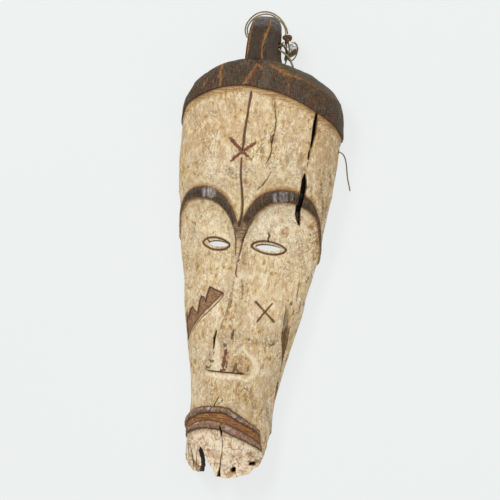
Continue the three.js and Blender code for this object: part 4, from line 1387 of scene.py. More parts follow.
# %% Tints of the clay
SLIP = (216, 193, 152)
TINTS = [  # place across and up, reach across and up, colour
    (-72, 118, 26, 48, (197, 169, 125)), (-30, 140, 22, 26, (207, 180, 136)),
    (0, 128, 26, 34, (215, 192, 150)), (48, 128, 26, 34, (212, 189, 147)),
    (92, 118, 22, 44, (200, 167, 124)), (118, 70, 22, 60, (184, 149, 104)),
    (-30, 84, 26, 14, (250, 238, 206)), (24, 84, 22, 13, (223, 203, 163)),
    (60, 84, 20, 10, (214, 190, 148)), (-45, 72, 34, 5, (220, 195, 145)), (45, 74, 34, 6, (212, 185, 133)),
    (0, 48, 8, 16, (224, 203, 155)), (-38, 24, 26, 26, (250, 234, 192)), (40, 24, 28, 26, (255, 246, 214)),
    (-36, -40, 26, 26, (226, 204, 162)), (42, -38, 28, 30, (229, 207, 167)),
    (80, -30, 20, 44, (230, 208, 166)), (92, -90, 20, 50, (200, 166, 118)),
    (-58, -70, 16, 40, (206, 180, 138)), (0, -60, 8, 50, (209, 184, 144)),
    (0, -120, 16, 26, (206, 180, 139)), (26, -122, 12, 16, (200, 172, 130)),
    (44, -132, 9, 20, (232, 216, 184)), (40, -98, 18, 14, (206, 184, 150)),
    # the pale patch at (0, -157) is a painted highlight under the nose's foot
    (-24, -128, 14, 20, (219, 200, 160)), (0, -157, 26, 6, (233, 216, 178)),
    (-4, -176, 20, 16, (198, 167, 114)), (24, -178, 18, 22, (210, 182, 136)),
    (-40, -170, 16, 24, (228, 212, 178)), (50, -190, 16, 34, (210, 184, 144)),
    (-44, -240, 14, 14, (250, 232, 202)), (-34, -266, 7, 9, (150, 120, 90)),
    (-8, -244, 18, 20, (255, 242, 216)), (24, -250, 22, 18, (254, 234, 204)),
    (-12, -86, 10, 18, (255, 244, 208)), (66, -230, 14, 44, (194, 162, 120)),
]


def slip_tint(s, y):
    """The clay's colour over the face, melted together from a few large patches."""
    total = np.full(np.shape(s), 0.25)
    colour = np.array(srgb(*SLIP)[:3]) * 0.25 + np.zeros(np.shape(s) + (3,))
    for place_s, place_y, reach_s, reach_y, tone in TINTS:
        weight = np.exp(-((s - place_s) / reach_s) ** 2 - ((y - place_y) / reach_y) ** 2)
        total += weight
        colour += weight[..., None] * np.array(srgb(*tone)[:3])
    return colour / total[..., None]


print(len(TINTS), "patches of clay")


# %% [markdown]
# ### Wear, smudges and calm places
# Where the cap's stain is rubbed off, where a highlight is painted on the wax, where dirt sits and where
# the clay is smooth was placed with strokes, small outlines and soft spots.

# %% Wear, smudges and calm places
CAP_WEAR = [
    [(-42.2, 212, 3.4), (-42.8, 203, 6.0), (-41.8, 194, 5.0), (-40.2, 184.5, 3.4)],
    [(2.4, 213, 2.8), (-3.4, 201.4, 4.4), (-8.4, 190.5, 5.6), (-12.6, 187.2, 3.2)],
    [(2.4, 213, 2.4), (8.2, 209.2, 2.4), (12, 203, 1.6), (14.9, 197.5, 2.0), (18.3, 188.2, 1.4)],
    [(18, 212.2, 1.8), (29, 207.2, 3.6), (37.6, 203.2, 7.4), (41.5, 201.8, 3.4), (50.3, 199.6, 4.0),
     (59.5, 196.2, 2.4), (69.9, 192.8, 2.8), (82, 187.4, 1.7), (96.4, 182, 1.7), (112, 180.4, 2.2),
     (125, 179.6, 2.6)],
    [(-71.5, 198, 2.0), (-79, 193, 3.0), (-85.4, 187.7, 2.0)],
    [(-60, 192, 1.6), (-62, 186, 2.8), (-64.5, 182.3, 1.6)],
    [(-50.2, 190, 1.2), (-51, 187.2, 2.0)],
    [(43, 198, 1.2), (43.6, 190, 2.0), (45, 180.5, 1.2)],
    [(66, 189, 0.8), (68, 181, 1.6), (69, 174, 0.8)],
    [(84, 183, 1.0), (86, 173, 1.8), (88, 164, 1.0)],
    [(136, 134, 2.6), (139, 128.5, 3.4)],
    [(28.3, 66.5, 1.4), (26.5, 61, 1.8), (24.4, 55.5, 1.8), (26.5, 49.5, 1.4)],
]
# painted highlights: pale patches of shine on the brows' wax and on the lips
HIGHLIGHT_PATCHES = [
    [(-50.9, 62.8), (-45.4, 65.2), (-45.6, 54.0), (-49.6, 52.8)],
    [(-43.6, 65.0), (-33.4, 62.3), (-31.4, 55.4), (-38.0, 51.8), (-43.8, 54.4)],
    [(37.7, 61.8), (42.8, 64.3), (43.4, 53), (40.0, 52)],
    [(45.8, 65.2), (55.6, 66.0), (55.4, 55.4), (46.2, 54)],
    [(58.4, 65.6), (61.6, 65.4), (61, 57.4), (59, 56.6)],
    [(-15.8, -193.6), (-8, -194), (-9.4, -197.6), (-14.8, -198)],
    [(14.6, -198.8), (20.6, -201.2), (19, -204.2), (14.4, -201.8)],
    [(22, -203), (26.4, -206), (24.2, -209), (20.4, -206)],
    [(8, -214), (13, -214.6), (12.4, -217.6), (8.4, -217)],
    [(15.4, -217.6), (20, -217.6), (19.6, -221.4), (15.4, -220.6)],
    [(-34, -213.6), (-27, -212), (-28, -214.6), (-34, -216)],
]
SMUDGES = [  # place across and up, reach across and up, strength
    (28, -168.4, 4, 4, 0.9), (-47, 152, 7, 5, 0.5), (-54, 118, 3, 10, 0.4), (-14, 84, 7, 4, 0.55),
    (7, 87, 5, 4, 0.5), (40, 92, 3, 3, 0.6), (57, 101, 8, 7, 0.45), (70, 96, 6, 9, 0.5),
    (-1.2, -18, 2.6, 3.6, 0.95), (-0.4, -120, 4.6, 4.6, 1.0), (-4, -112, 2.4, 4, 0.5),
    (12, -144, 3, 5, 0.7), (10, -149, 3, 2, 0.8), (20, -149.4, 4, 1.8, 0.8), (8, -108, 2, 6, 0.8),
    (-22, -138, 4, 8, 0.45), (0, -112, 2, 8, 0.5), (-6, -104, 2, 8, 0.4), (44, -112, 10, 4, 0.5),
    (56, -110, 4, 2.4, 0.9), (38, -192, 2.6, 8, 0.6), (30, -184, 2, 6, 0.45), (20, -190, 4, 10, 0.35),
    (-68, 12, 3, 10, 0.4), (-60, -30, 3, 10, 0.4), (71, 4, 5, 10, 0.3), (60, -196, 5, 10, 0.5),
    (44, -245, 6, 6, 0.4), (-45, -238, 6, 8, 0.75), (-4, -246, 3, 3, 0.5), (90, 28, 5, 12, 0.4),
    (113, 85, 2.4, 9, 0.9), (108, 53, 2.4, 8, 0.9), (100, 96, 2, 6, 0.6), (-8, 196, 5, 5, 0.3),
    (-14, 110, 4, 3, 0.5), (4, 99, 3, 2, 0.6), (-4, 118, 3, 4, 0.5),
]
CALM = [  # where the clay is smooth: place, reach and how much
    (42, -62, 26, 34, 0.85), (-12, -90, 12, 22, 0.8), (34, 18, 26, 20, 0.45), (-38, 16, 22, 22, 0.4),
    (44, -160, 20, 20, 0.4), (-46, -190, 12, 30, 0.5), (-84, 110, 16, 40, 0.4),
]
GREY_STROKES = [
    [(15.4, 107.4, 1.2), (18.4, 112.8, 1.8), (21.8, 118.4, 1.2)],
    [(18.2, 106.8, 1.4), (21.8, 111.6, 2.0), (25.0, 116.8, 1.2)],
    [(22.2, 108.6, 1.2), (25, 113, 1.6), (27, 117.6, 1.0)],
    [(31.6, 128.5, 4.0), (32.2, 122.5, 3.4)],
]


def spots(places, s, y):
    """Soft round spots, the strongest one at each place."""
    total = np.zeros(np.shape(s))
    for place_s, place_y, reach_s, reach_y, strength in places:
        weight = np.exp(-((s - place_s) / reach_s) ** 2 - ((y - place_y) / reach_y) ** 2)
        total = np.maximum(total, weight * strength)
    return total


def blurred(values, reach):
    """A running mean over rows and columns."""
    for axis in (0, 1):
        pad = [(reach + 1, reach) if k == axis else (0, 0) for k in (0, 1)]
        run = np.cumsum(np.pad(values, pad, mode="edge"), axis=axis)
        values = (np.take(run, range(2 * reach + 1, run.shape[axis]), axis)
                  - np.take(run, range(0, run.shape[axis] - 2 * reach - 1), axis)) / (2 * reach + 1)
    return values


def on_ring(values, elsewhere):
    """Values on the skin, carried on over the hollow as one number."""
    rest = np.full((ROWS, HOLLOW_COLUMNS) + values.shape[2:], elsewhere, float)
    return np.concatenate([values, rest], axis=1).reshape((ROWS * RING,) + values.shape[2:])


# The burnished patches counted here are painted highlights on the wax and the lips.
print(len(CAP_WEAR), "rubbed strokes,", len(HIGHLIGHT_PATCHES), "burnished patches,", len(SMUDGES), "smudges")


# %% [markdown]
# ### Work out the masks
# Every mask is now measured at every point of the skin. The scar's straight lower edge has a bare line
# beside it, so its mask is trimmed there, and that line joins the cut lines.

# %% Work out the masks
FAR = 40
SCAR_CORNER, SCAR_SLOPE, SLOPE_LENGTH = (-14.9, -60.7), 1.11, 1.494
BARE_LINE = 3.4
WEDGE = [
    (-15, 31), (-10, 32), (0, 26), (9, 32), (18, 34), (11, 20.8), (5.4, 8.6), (2.8, -3.1), (0.8, -13.8),
    (-3.7, -13), (-4.2, -4), (-4.8, 5.2), (-7.4, 14.5),
]
waxed = np.minimum(brow_parts(S, Y)[2], Y - 27 + 1.2 * np.maximum(0, np.abs(S - 1) - 5))
scar_in = inside_outline(SCAR, S, Y)
from_edge = (Y - SCAR_CORNER[1] - SCAR_SLOPE * (S - SCAR_CORNER[0])) / SLOPE_LENGTH
cut_in = np.maximum(inside_strokes(CUT_LINES, S, Y), 0.8 - np.abs(scar_in))
cut_in = np.maximum(cut_in, np.where(scar_in > 0, 0.7 - np.abs(from_edge - BARE_LINE), -9))
scar_in = np.where(from_edge < 5, np.minimum(scar_in, from_edge - BARE_LINE), scar_in)
MASKS = {
    "cap": on_ring(np.clip(over(CAP_EDGE, S, Y), -FAR, FAR), -FAR),
    "brow": on_ring(waxed, -FAR),
    "upper_lip": on_ring(band(LIP_TOP_EDGE, LIP_TOP, S, Y)[1], -FAR),
    "lower_lip": on_ring(band(LIP_LOW, LIP_LOW_EDGE, S, Y)[1], -FAR),
    "mouth": on_ring(band(LIP_LOW_EDGE, LIP_TOP_EDGE, S, Y)[1], -FAR),
    "cut_line": on_ring(cut_in, -FAR),
    "scar": on_ring(scar_in, -FAR),
    "chin": on_ring(-over(LIP_LOW, S, Y), -FAR),
    "rim": on_ring(outside.length(Y) - np.abs(S), 0),
    "hollow": on_ring(np.zeros(S.shape), 1),
    "wear": on_ring(ease((inside_strokes(CAP_WEAR, S, Y) + 1.5) / 3.5), 0),
    "highlight_patch": on_ring(sum(wall(inside_outline(patch, S, Y), 1.6) for patch in HIGHLIGHT_PATCHES), 0),
    "wedge": on_ring(inside_outline(WEDGE, S, Y), -FAR),
    "wing": on_ring(inside_outline(WING, S, Y), -FAR),
    "height": on_ring(Y, 0),
    "front": on_ring(np.zeros(S.shape), 0),
    "ridge": on_ring(np.clip(Y - CAP_RIDGE(S), -FAR, FAR), -FAR),
    "smudge": on_ring(spots(SMUDGES, S, Y), 0),
    "rough": on_ring(1 - spots(CALM, S, Y), 1),
    # painted shade, partly dirt: darker where the relief lies lower than round it
    "recess_shade_and_dirt": on_ring(np.clip((blurred(height, 3) - height) / 1.6, 0, 1) * (Y < 180), 0),
}
STROKES = {
    "crack": OPEN_CRACKS, "fine_crack": FINE_CRACKS, "red_stroke": RED_STROKES, "gouge": GOUGE,
    "plate": PLATE, "stain": BROWN_STAINS, "grey": GREY_STROKES, "slit_edge": SLIT_EDGES,
    "pale": PALE_STROKES, "fleck": FLECKS,
}
for name, strokes in STROKES.items():
    MASKS[name] = on_ring(inside_strokes(strokes, S, Y), -FAR)
TINT = on_ring(slip_tint(S, Y), 0.25)
print(len(MASKS), "masks")


# %% [markdown]
# ### Join shell and tenon
# The cut shell has new points along its cuts. Each point takes its masks from the nearest point of the
# uncut skin, which a search tree finds quickly. The tenon is all cap, so its masks are mostly one number.

# %% Join the pieces and hand over the masks
def read_mesh(made):
    """The points in millimetres, and the faces as lists of points."""
    data = made.data
    points = np.empty(len(data.vertices) * 3)
    data.vertices.foreach_get("co", points)
    starts = np.empty(len(data.polygons), int)
    data.polygons.foreach_get("loop_start", starts)
    loops = np.empty(len(data.loops), int)
    data.loops.foreach_get("vertex_index", loops)
    return points.reshape(-1, 3) / MM, [part.tolist() for part in np.split(loops, starts[1:])]


def nearest(points, known):
    """For each point, which one of the known points is nearest."""
    tree = kdtree.KDTree(len(known))
    for i, point in enumerate(known):
        tree.insert(point, i)
    tree.balance()
    return np.array([tree.find(point)[1] for point in points])


uncut = ring.reshape(-1, 3)
shell_points, shell_faces = read_mesh(shell)
from_uncut = nearest(shell_points, uncut)
tenon_mesh_points, tenon_faces = read_mesh(tenon)
tenon_wear = tenon_ridges.reshape(-1)[nearest(tenon_mesh_points, tenon_points.reshape(-1, 3))]

shift = len(shell_points)
faces = shell_faces + [[i + shift for i in face] for face in tenon_faces]
mask = mesh_object("carved_mask", np.vstack([shell_points, tenon_mesh_points]), faces)
for old in (shell, tenon):
    bpy.data.objects.remove(old)
ridge_line = [middle_x + width / 2 - TENON_CORNER for _, middle_x, width, _, _ in TENON]
tenon_up = tenon_mesh_points[:, 1]
past_ridge = tenon_mesh_points[:, 0] - np.interp(tenon_up, [row[0] for row in TENON], ridge_line)
tenon_front = 1 - ease(past_ridge / 1.6 + 0.5)
ON_TENON = {"cap": FAR, "rough": 1.0, "rim": 99.0, "wear": tenon_wear, "height": tenon_up,
            "front": tenon_front}
ON_TENON.update(dict.fromkeys(("hollow", "highlight_patch", "smudge", "recess_shade_and_dirt"), 0.0))
for name, values in MASKS.items():
    there = np.zeros(len(tenon_mesh_points)) + ON_TENON.get(name, -FAR)
    both = np.concatenate([values[from_uncut], there])
    mask.data.attributes.new(name, "FLOAT", "POINT").data.foreach_set("value", both)
tint = np.vstack([TINT[from_uncut], np.full((len(tenon_mesh_points), 3), 0.1)])
tint = np.column_stack([tint, np.ones(len(tint))])
mask.data.attributes.new("tint", "FLOAT_COLOR", "POINT").data.foreach_set("color", tint.ravel())
mask.data.set_sharp_from_angle(angle=math.radians(50))
print("mask:", len(mask.data.vertices), "points and", sum(len(f) - 2 for f in faces), "triangles")


# %% [markdown]
# ### Raw sides of the cuts
# A face that stands upright and has only new corners is a raw side of a cut. Where it lies says which cut
# it belongs to, and so which wood it shows. The sides of the split and of the holes get a near-black wood
# as painted shade.

# %% Find the raw sides of the cuts
EYE_SIDES, SHADED_SPLIT_SIDES, BROKEN_SIDES = 1, 2, 3
EYE_ZONE = (62, 14)
SPLIT_TOP, HOLES_FROM = -236, -200
MOVED, UPRIGHT = 0.01, 0.75


def face_normals(made):
    store = np.empty(len(made.data.polygons) * 3)
    made.data.polygon_normals.foreach_get("vector", store)
    return store.reshape(-1, 3)


def raw_sides(made):
    """For each face the number of its material: 0 for the skin, or the kind of raw side."""
    new = np.linalg.norm(shell_points - uncut[from_uncut], axis=1) > MOVED
    facing = face_normals(made)
    kinds = np.zeros(len(made.data.polygons), int)
    for i, face in enumerate(shell_faces):
        if not new[face].all() or abs(facing[i][2]) >= UPRIGHT:
            continue
        x, y = shell_points[face, :2].mean(axis=0)
        if abs(x) < EYE_ZONE[0] and abs(y) < EYE_ZONE[1]:
            kinds[i] = EYE_SIDES
        elif y > HOLES_FROM or (y < SPLIT_TOP and x < 0):
            kinds[i] = SHADED_SPLIT_SIDES
        else:
            kinds[i] = BROKEN_SIDES
    return kinds


sides = raw_sides(mask)
for title, kind in (("eyes", EYE_SIDES), ("split and holes", SHADED_SPLIT_SIDES), ("broken edge", BROKEN_SIDES)):
    print(title + ":", int((sides == kind).sum()), "raw faces")


# %% [markdown]
# ## Layers of paint
# One finish covers the whole carving, because the real layers run into each other. Separate materials
# would be simpler, but each border would follow the faces of the mesh. Here every layer lies over the
# last one, in the order in which the mask was made and worn, and noise moves each edge by about a
# millimetre. A layer is one row of a table: the noise it follows, where that noise starts to show and
# where it is full, how strong the layer gets, and its colour.

# %% Helpers for layers
class CarvingFinish(Finish):
    """The finish of the carving, with the noises that its layers share."""

    def __init__(self, name):
        super().__init__(name)
        self.grain = self.noise((1.1, 18.0, 1.1), 4.0, 0.62)
        self.streak = self.noise((0.8, 9.0, 2.0), 3.0, 0.6)
        self.scratch = self.noise((0.55, 12.0, 0.55), 2.0, 0.5, 0.4)
        self.across = self.noise((14.0, 0.9, 14.0), 4.0, 0.6)
        self.ruled = self.noise((9.0, 0.7, 9.0), 3.0, 0.6)
        self.hatch = self.noise((0.8, 5.0, 5.0), 3.0, 0.6, 1.2)
        self.wide = self.noise(24.0, 3.0, 0.5, 1.0)
        self.cloud = self.noise((11.0, 17.0, 11.0), 5.0, 0.62, 0.6)
        self.blot = self.noise(7.0, 4.0, 0.6, 0.8)
        self.blotch = self.noise((5.0, 8.0, 5.0), 4.0, 0.6, 0.4)
        self.crumbs = self.noise((2.8, 3.4, 2.8), 5.0, 0.68)
        self.fine = self.noise(1.0, 3.0, 0.6)
        self.shaken = self.sum("MULTIPLY", self.sum("SUBTRACT", self.crumbs, 0.5), 3.0)

    def times(self, amount, factor):
        return self.sum("MULTIPLY", amount, factor)

    def rough_mask(self, name, shake=1.0):
        """A mask whose edges the crumbs have moved to and fro."""
        return self.sum("MULTIPLY_ADD", self.shaken, shake, self.mask(name))

    def edge(self, name, low=-0.35, high=0.35, shake=1.0):
        """1 inside a mask's edge and 0 outside."""
        return self.step(self.rough_mask(name, shake), low, high)

    def outlined(self, name, reach):
        """1 in a narrow line along a mask's edge."""
        return self.step(self.sum("ABSOLUTE", self.rough_mask(name, 0.6)), reach, reach * 0.4)

    def two_tones(self, noise, low, high, first, second):
        return self.mix(self.step(noise, low, high), srgb(*first), srgb(*second))

    def coat(self, under, amount, weight, tone):
        """A tone, or another paint, laid over what is under it."""
        return self.mix(self.times(amount, weight), under, srgb(*tone) if isinstance(tone, tuple) else tone)

    def coats(self, under, rows):
        for amount, weight, tone in rows:
            under = self.coat(under, amount, weight, tone)
        return under

    def layers(self, under, rows, within=None):
        """Lays each row of a table over the last one, all over or only within some part."""
        for noise, low, high, weight, tone in rows:
            strength = weight if within is None else self.times(within, weight)
            under = self.coat(under, self.step(getattr(self, noise), low, high), strength, tone)
        return under

    def painted_sheen(self):
        """Painted highlight on the wax and the lips, broken up unevenly."""
        return self.times(self.mask("highlight_patch"), self.step(self.blot, 0.66, 0.36, 0.30, 1.0))

    def rubbed(self):
        """Where the stain is rubbed off the ridges."""
        broken = self.times(self.mask("wear"), self.step(self.crumbs, 0.44, 0.54))
        return self.sum("MAXIMUM", broken, self.step(self.rough_mask("wear", 0.35), 0.55, 0.8))

    def bare_wood(self):
        return self.two_tones(self.streak, 0.42, 0.58, (98, 60, 28), (158, 112, 58))


print("layers are mixed by", len([name for name in vars(CarvingFinish) if name[0] != "_"]), "helpers")


# %% [markdown]
# ### Clay slip
# The face is covered with white clay that has yellowed, with grease and dust worked into it. A single
# noise would look like sand. So wide clouds come first, then blotches, then crumbs and fine grit in some
# zones. Streaks along the grain come through last, and dark pits where the clay has flaked.

# %% Clay slip
CLAY_CLOUDS = [
    ("wide", 0.52, 0.60, 0.60, (216, 186, 128)),
    ("wide", 0.48, 0.38, 0.40, (208, 186, 160)),
    ("cloud", 0.48, 0.62, 0.50, (188, 154, 108)),
    ("cloud", 0.50, 0.34, 0.60, (242, 228, 196)),
    ("blotch", 0.52, 0.62, 0.45, (182, 147, 100)),
    ("blotch", 0.46, 0.36, 0.50, (244, 232, 202)),
]
CLAY_CRUMBS = [
    ("crumbs", 0.54, 0.60, 0.72, (160, 124, 80)),
    ("crumbs", 0.45, 0.39, 0.62, (250, 240, 214)),
]
CLAY_GRAIN = [
    ("streak", 0.56, 0.66, 0.35, (166, 130, 86)),
    ("grain", 0.56, 0.66, 0.50, (160, 124, 80)),
]
CLAY_GRIT = [
    ("fine", 0.56, 0.63, 0.80, (134, 100, 62)),
    ("fine", 0.43, 0.36, 0.60, (252, 244, 222)),
]
CLAY_SCRATCHES = [("scratch", 0.62, 0.66, 0.75, (120, 86, 52))]


def clay_slip(paint):
    """Returns the clay's colour and where its dark pits are."""
    patchy = paint.step(paint.noise(17.0, 3.0, 0.6, 0.8), 0.46, 0.58, 0.12, 1.0)
    zone = paint.times(patchy, paint.mask("rough"))
    smear = paint.times(paint.step(paint.blotch, 0.53, 0.60), paint.step(paint.wide, 0.50, 0.60))
    flaked = paint.times(zone, paint.step(paint.cloud, 0.44, 0.58))
    pits = paint.times(paint.step(paint.cells((2.6, 3.2, 2.6)), 0.20, 0.10), flaked)
    colour = paint.layers(paint.tint("tint"), CLAY_CLOUDS)
    colour = paint.layers(colour, CLAY_CRUMBS, within=zone)
    colour = paint.coat(colour, smear, 0.70, (150, 114, 72))
    colour = paint.layers(colour, CLAY_GRAIN)
    colour = paint.layers(colour, CLAY_GRIT, within=zone)
    colour = paint.layers(colour, CLAY_SCRATCHES)
    return paint.coat(colour, pits, 0.85, (96, 66, 38)), pits


print("clay:", len(CLAY_CLOUDS + CLAY_CRUMBS + CLAY_GRAIN + CLAY_GRIT + CLAY_SCRATCHES), "layers")


# %% [markdown]
# ### Chin, dirt, recess shade and rubbed places
# The clay on the chin is thicker and pinker, and it has crazed into small plates: cells with a thin line
# between them. Every corner of the relief is painted darker, as painted shade with some settled dirt,
# where a mask made from the heights finds it. The rim is worn down to brown wood.

# %% Chin, dirt and rubbed places
def chin_dirt_and_recess_shade(paint, colour):
    """Returns the colour and where the clay has crazed."""
    net = paint.cells((9.0, 11.0, 9.0), "DISTANCE_TO_EDGE", 0.7)
    on_chin = paint.step(paint.mask("chin"), 0.5, 3.0)
    crazed = paint.times(paint.step(net, 0.08, 0.015), on_chin)
    crazed = paint.times(crazed, paint.step(paint.blot, 0.40, 0.56))
    smudge = paint.times(paint.mask("smudge"), paint.step(paint.crumbs, 0.40, 0.56))
    round_brow = paint.times(paint.step(paint.mask("brow"), -3.4, -0.4),
                             paint.step(paint.crumbs, 0.36, 0.54))
    colour = paint.coats(colour, [
        (on_chin, 0.15, (252, 232, 206)),
        (on_chin, paint.step(paint.blot, 0.54, 0.44, 0.0, 0.65), (248, 226, 196)),
        (on_chin, paint.step(paint.blot, 0.55, 0.61, 0.0, 0.60), (192, 150, 110)),
        (crazed, 0.70, (144, 102, 66)),
        (smudge, 1.00, (98, 82, 66)),
        # painted shade in the corners of the relief, partly settled dirt
        (paint.mask("recess_shade_and_dirt"), 0.60, (138, 100, 58)),
        (round_brow, 0.80, (178, 134, 78)),
    ])
    return colour, crazed


def rubbed_places(paint, colour):
    """The brown patch by the nose, the pale strokes round it, the one under the nose's foot a painted
    highlight, and the worn rim.
    """
    worn = paint.sum("MULTIPLY_ADD", paint.sum("SUBTRACT", paint.cloud, 0.5), 14.0, paint.mask("rim"))
    wing_paint = paint.two_tones(paint.crumbs, 0.44, 0.54, (150, 110, 64), (208, 178, 132))
    pale_paint = paint.two_tones(paint.crumbs, 0.42, 0.56, (248, 236, 208), (228, 208, 170))
    return paint.coats(colour, [
        (paint.edge("wing", -1.0, 1.5, 1.2), 0.65, wing_paint),
        (paint.edge("pale", -1.4, 1.6, 1.8), 0.70, pale_paint),
        (paint.step(worn, 9.0, 2.0), 0.85, (112, 86, 58)),
    ])


print("chin, dirt and rubbed places are ready to lay over the clay")


# %% [markdown]
# ### Ochre strip and dark cap
# The cap and the tenon are stained nearly black over coarse wood, and a strip of ochre wood shows below
# the stain. Along the ridges the stain has gone. It is built from the grain up: dark and less dark
# fibres, brown clouds, pale dust, then crumbs of red-brown. The grey on the cap's top face above its ridge
# is dust and painted sheen, and the darker top of the strip with its dark line under the cap's edge is
# painted shadow.

# %% Ochre strip and dark cap
CAP_LAYERS = [
    ("streak", 0.52, 0.62, 0.50, (96, 80, 54)),
    ("cloud", 0.52, 0.60, 0.70, (88, 48, 22)),
    ("cloud", 0.46, 0.38, 0.40, (100, 92, 76)),
    ("fine", 0.56, 0.63, 0.75, (130, 114, 84)),
    ("fine", 0.46, 0.39, 0.75, (24, 16, 9)),
    ("crumbs", 0.55, 0.62, 0.80, (100, 56, 24)),
]


def cap_stain(paint):
    """The dark stain, with the tenon's front darker, its end greyer, and dust and painted sheen above the
    cap's ridge.
    """
    tenon_end = paint.two_tones(paint.across, 0.44, 0.56, (70, 66, 60), (132, 132, 130))
    dust_and_sheen = paint.two_tones(paint.across, 0.36, 0.64, (64, 50, 36), (108, 96, 78))
    stain = paint.two_tones(paint.grain, 0.43, 0.57, (30, 20, 11), (70, 56, 38))
    stain = paint.layers(stain, CAP_LAYERS)
    stain = paint.coats(stain, [
        (paint.mask("front"), 0.60, (40, 29, 14)),
        (paint.step(paint.mask("height"), 258.0, 268.0), 0.70, tenon_end),
        # dust and painted sheen: grey on the cap's top face above the ridge
        (paint.step(paint.mask("ridge"), 0.4, 1.8), 0.50, dust_and_sheen),
    ])
    return paint.mix(paint.rubbed(), stain, paint.bare_wood())


def strip_and_cap(paint, colour):
    """Returns the colour and where the cap is."""
    above_edge = paint.rough_mask("cap", 1.1)
    cap = paint.step(above_edge, -0.4, 0.5)
    ochre = paint.two_tones(paint.across, 0.40, 0.60, (142, 102, 56), (198, 166, 114))
    # painted shadow: the strip darkens towards the cap's edge
    ochre = paint.coat(ochre, paint.step(above_edge, -3.8, -0.8), 0.85, (116, 78, 42))
    ochre = paint.coat(ochre, paint.step(paint.crumbs, 0.55, 0.63), 0.60, (126, 90, 52))
    colour = paint.coats(colour, [
        (paint.step(above_edge, -9.5, -4.6), 0.90, ochre),
        # painted shadow: a dark line just under the cap's edge
        (paint.outlined("cap", 1.3), 0.75, (84, 56, 32)),
        (cap, 1.00, cap_stain(paint)),
    ])
    return colour, cap


print("cap stain:", len(CAP_LAYERS), "layers")


# %% [markdown]
# ### Waxed brows
# The brows are rubbed with dark wax, which is smoother than the clay. Between them a wedge of
# brown wood runs down the nose, scratched across. Short strokes of noise stand for the tool marks under
# the wax. The shine is a painted highlight as well as a smoother surface: pale patches with edges.

# %% Waxed brows
WAX_LAYERS = [
    ("hatch", 0.54, 0.60, 0.55, (124, 102, 70)),
    ("fine", 0.56, 0.64, 0.50, (120, 98, 74)),
]
WEDGE_SCRATCHES = [
    ("ruled", 0.50, 0.56, 0.75, (74, 50, 34)),
    ("ruled", 0.46, 0.40, 0.55, (196, 160, 116)),
]


def waxed_brows(paint, colour):
    """Returns the colour and where the brows are."""
    up = paint.mask("height")
    panel = paint.two_tones(up, 3.0, 7.0, (224, 198, 152), (150, 122, 96))
    wedge_paint = paint.mix(paint.step(up, 9.0, 14.5), panel, srgb(88, 58, 34))
    wedge_paint = paint.layers(wedge_paint, WEDGE_SCRATCHES)
    colour = paint.coat(colour, paint.edge("wedge", -0.4, 0.5, 0.5), 0.85, wedge_paint)
    wax = paint.two_tones(paint.streak, 0.42, 0.58, (36, 25, 15), (72, 54, 34))
    wax = paint.layers(wax, WAX_LAYERS)
    thin_wax = paint.two_tones(paint.crumbs, 0.44, 0.56, (74, 46, 28), (146, 98, 54))
    wax = paint.coat(wax, paint.step(paint.rough_mask("brow", 0.8), 2.4, 0.6), 0.85, thin_wax)
    wax = paint.mix(paint.rubbed(), wax, paint.bare_wood())
    # painted highlight: pale grey patches of shine on the wax
    shine = paint.two_tones(paint.hatch, 0.42, 0.58, (138, 126, 122), (206, 198, 196))
    wax = paint.coat(wax, paint.painted_sheen(), 0.75, shine)
    brow = paint.edge("brow", -0.3, 0.4, 0.7)
    return paint.mix(brow, colour, wax), brow


print("brow wax:", len(WAX_LAYERS), "layers, wedge:", len(WEDGE_SCRATCHES))


# %% [markdown]
# ### Lips and mouth
# The lips carry a red-brown paint that has worn to grey and tan, and orange wood shows between them. Both
# are made the same way, so a table holds what differs and one loop paints them. Pale patches on the lips
# are a painted highlight, and the dark lines along the edges of the lips and the mouth are painted shadow.

# %% Lips and mouth
# The last tone of each lip is its painted highlight.
LIPS = {  # two base tones, the layers over them and the burnished tone
    "upper_lip": ((110, 80, 56), (170, 140, 100), [
        ("blot", 0.44, 0.54, 0.80, (116, 88, 78)),
        ("fine", 0.56, 0.66, 0.60, (206, 182, 142)),
    ], (206, 196, 196)),
    "lower_lip": ((110, 74, 48), (174, 134, 90), [
        ("blot", 0.42, 0.52, 0.60, (128, 102, 96)),
        ("blot", 0.58, 0.66, 0.70, (148, 86, 44)),
        ("fine", 0.57, 0.66, 0.60, (190, 164, 126)),
    ], (200, 190, 194)),
}


def lips_and_mouth(paint, colour):
    """Returns the colour and where the lips are."""
    inner = paint.two_tones(paint.across, 0.42, 0.58, (116, 76, 42), (176, 128, 76))
    inner = paint.coats(inner, [
        (paint.step(paint.blot, 0.48, 0.58), 0.60, (138, 80, 42)),
        # painted shadow: a dark line along the mouth's edges, where the lips rise
        (paint.outlined("mouth", 2.6), 0.50, (92, 54, 30)),
        (paint.step(paint.crumbs, 0.54, 0.62), 0.60, (98, 62, 34)),
    ])
    colour = paint.mix(paint.edge("mouth", -0.3, 0.4, 0.6), colour, inner)
    covered = []
    for name, (first, second, rows, shine) in LIPS.items():
        lip = paint.two_tones(paint.crumbs, 0.42, 0.58, first, second)
        lip = paint.layers(lip, rows)
        lip = paint.coat(lip, paint.painted_sheen(), 0.80, shine)
        covered.append(paint.edge(name, -0.3, 0.5, 0.8))
        colour = paint.mix(covered[-1], colour, lip)
    for name in LIPS:
        # painted shadow: dark lines along each lip's edges
        shaded_lip_edge = paint.sum("ABSOLUTE", paint.rough_mask(name, 1.5))
        colour = paint.coat(colour, paint.step(shaded_lip_edge, 1.2, 0.4), 0.80, (72, 46, 30))
    return colour, paint.sum("MAXIMUM", *covered)


print("lips:", ", ".join(LIPS))


# %% [markdown]
# ### Scar, strokes, cuts and cracks
# These marks come last, because on the real object they were cut or broken through everything else. Their
# order matters too: a crack runs through a painted stroke and not under it.

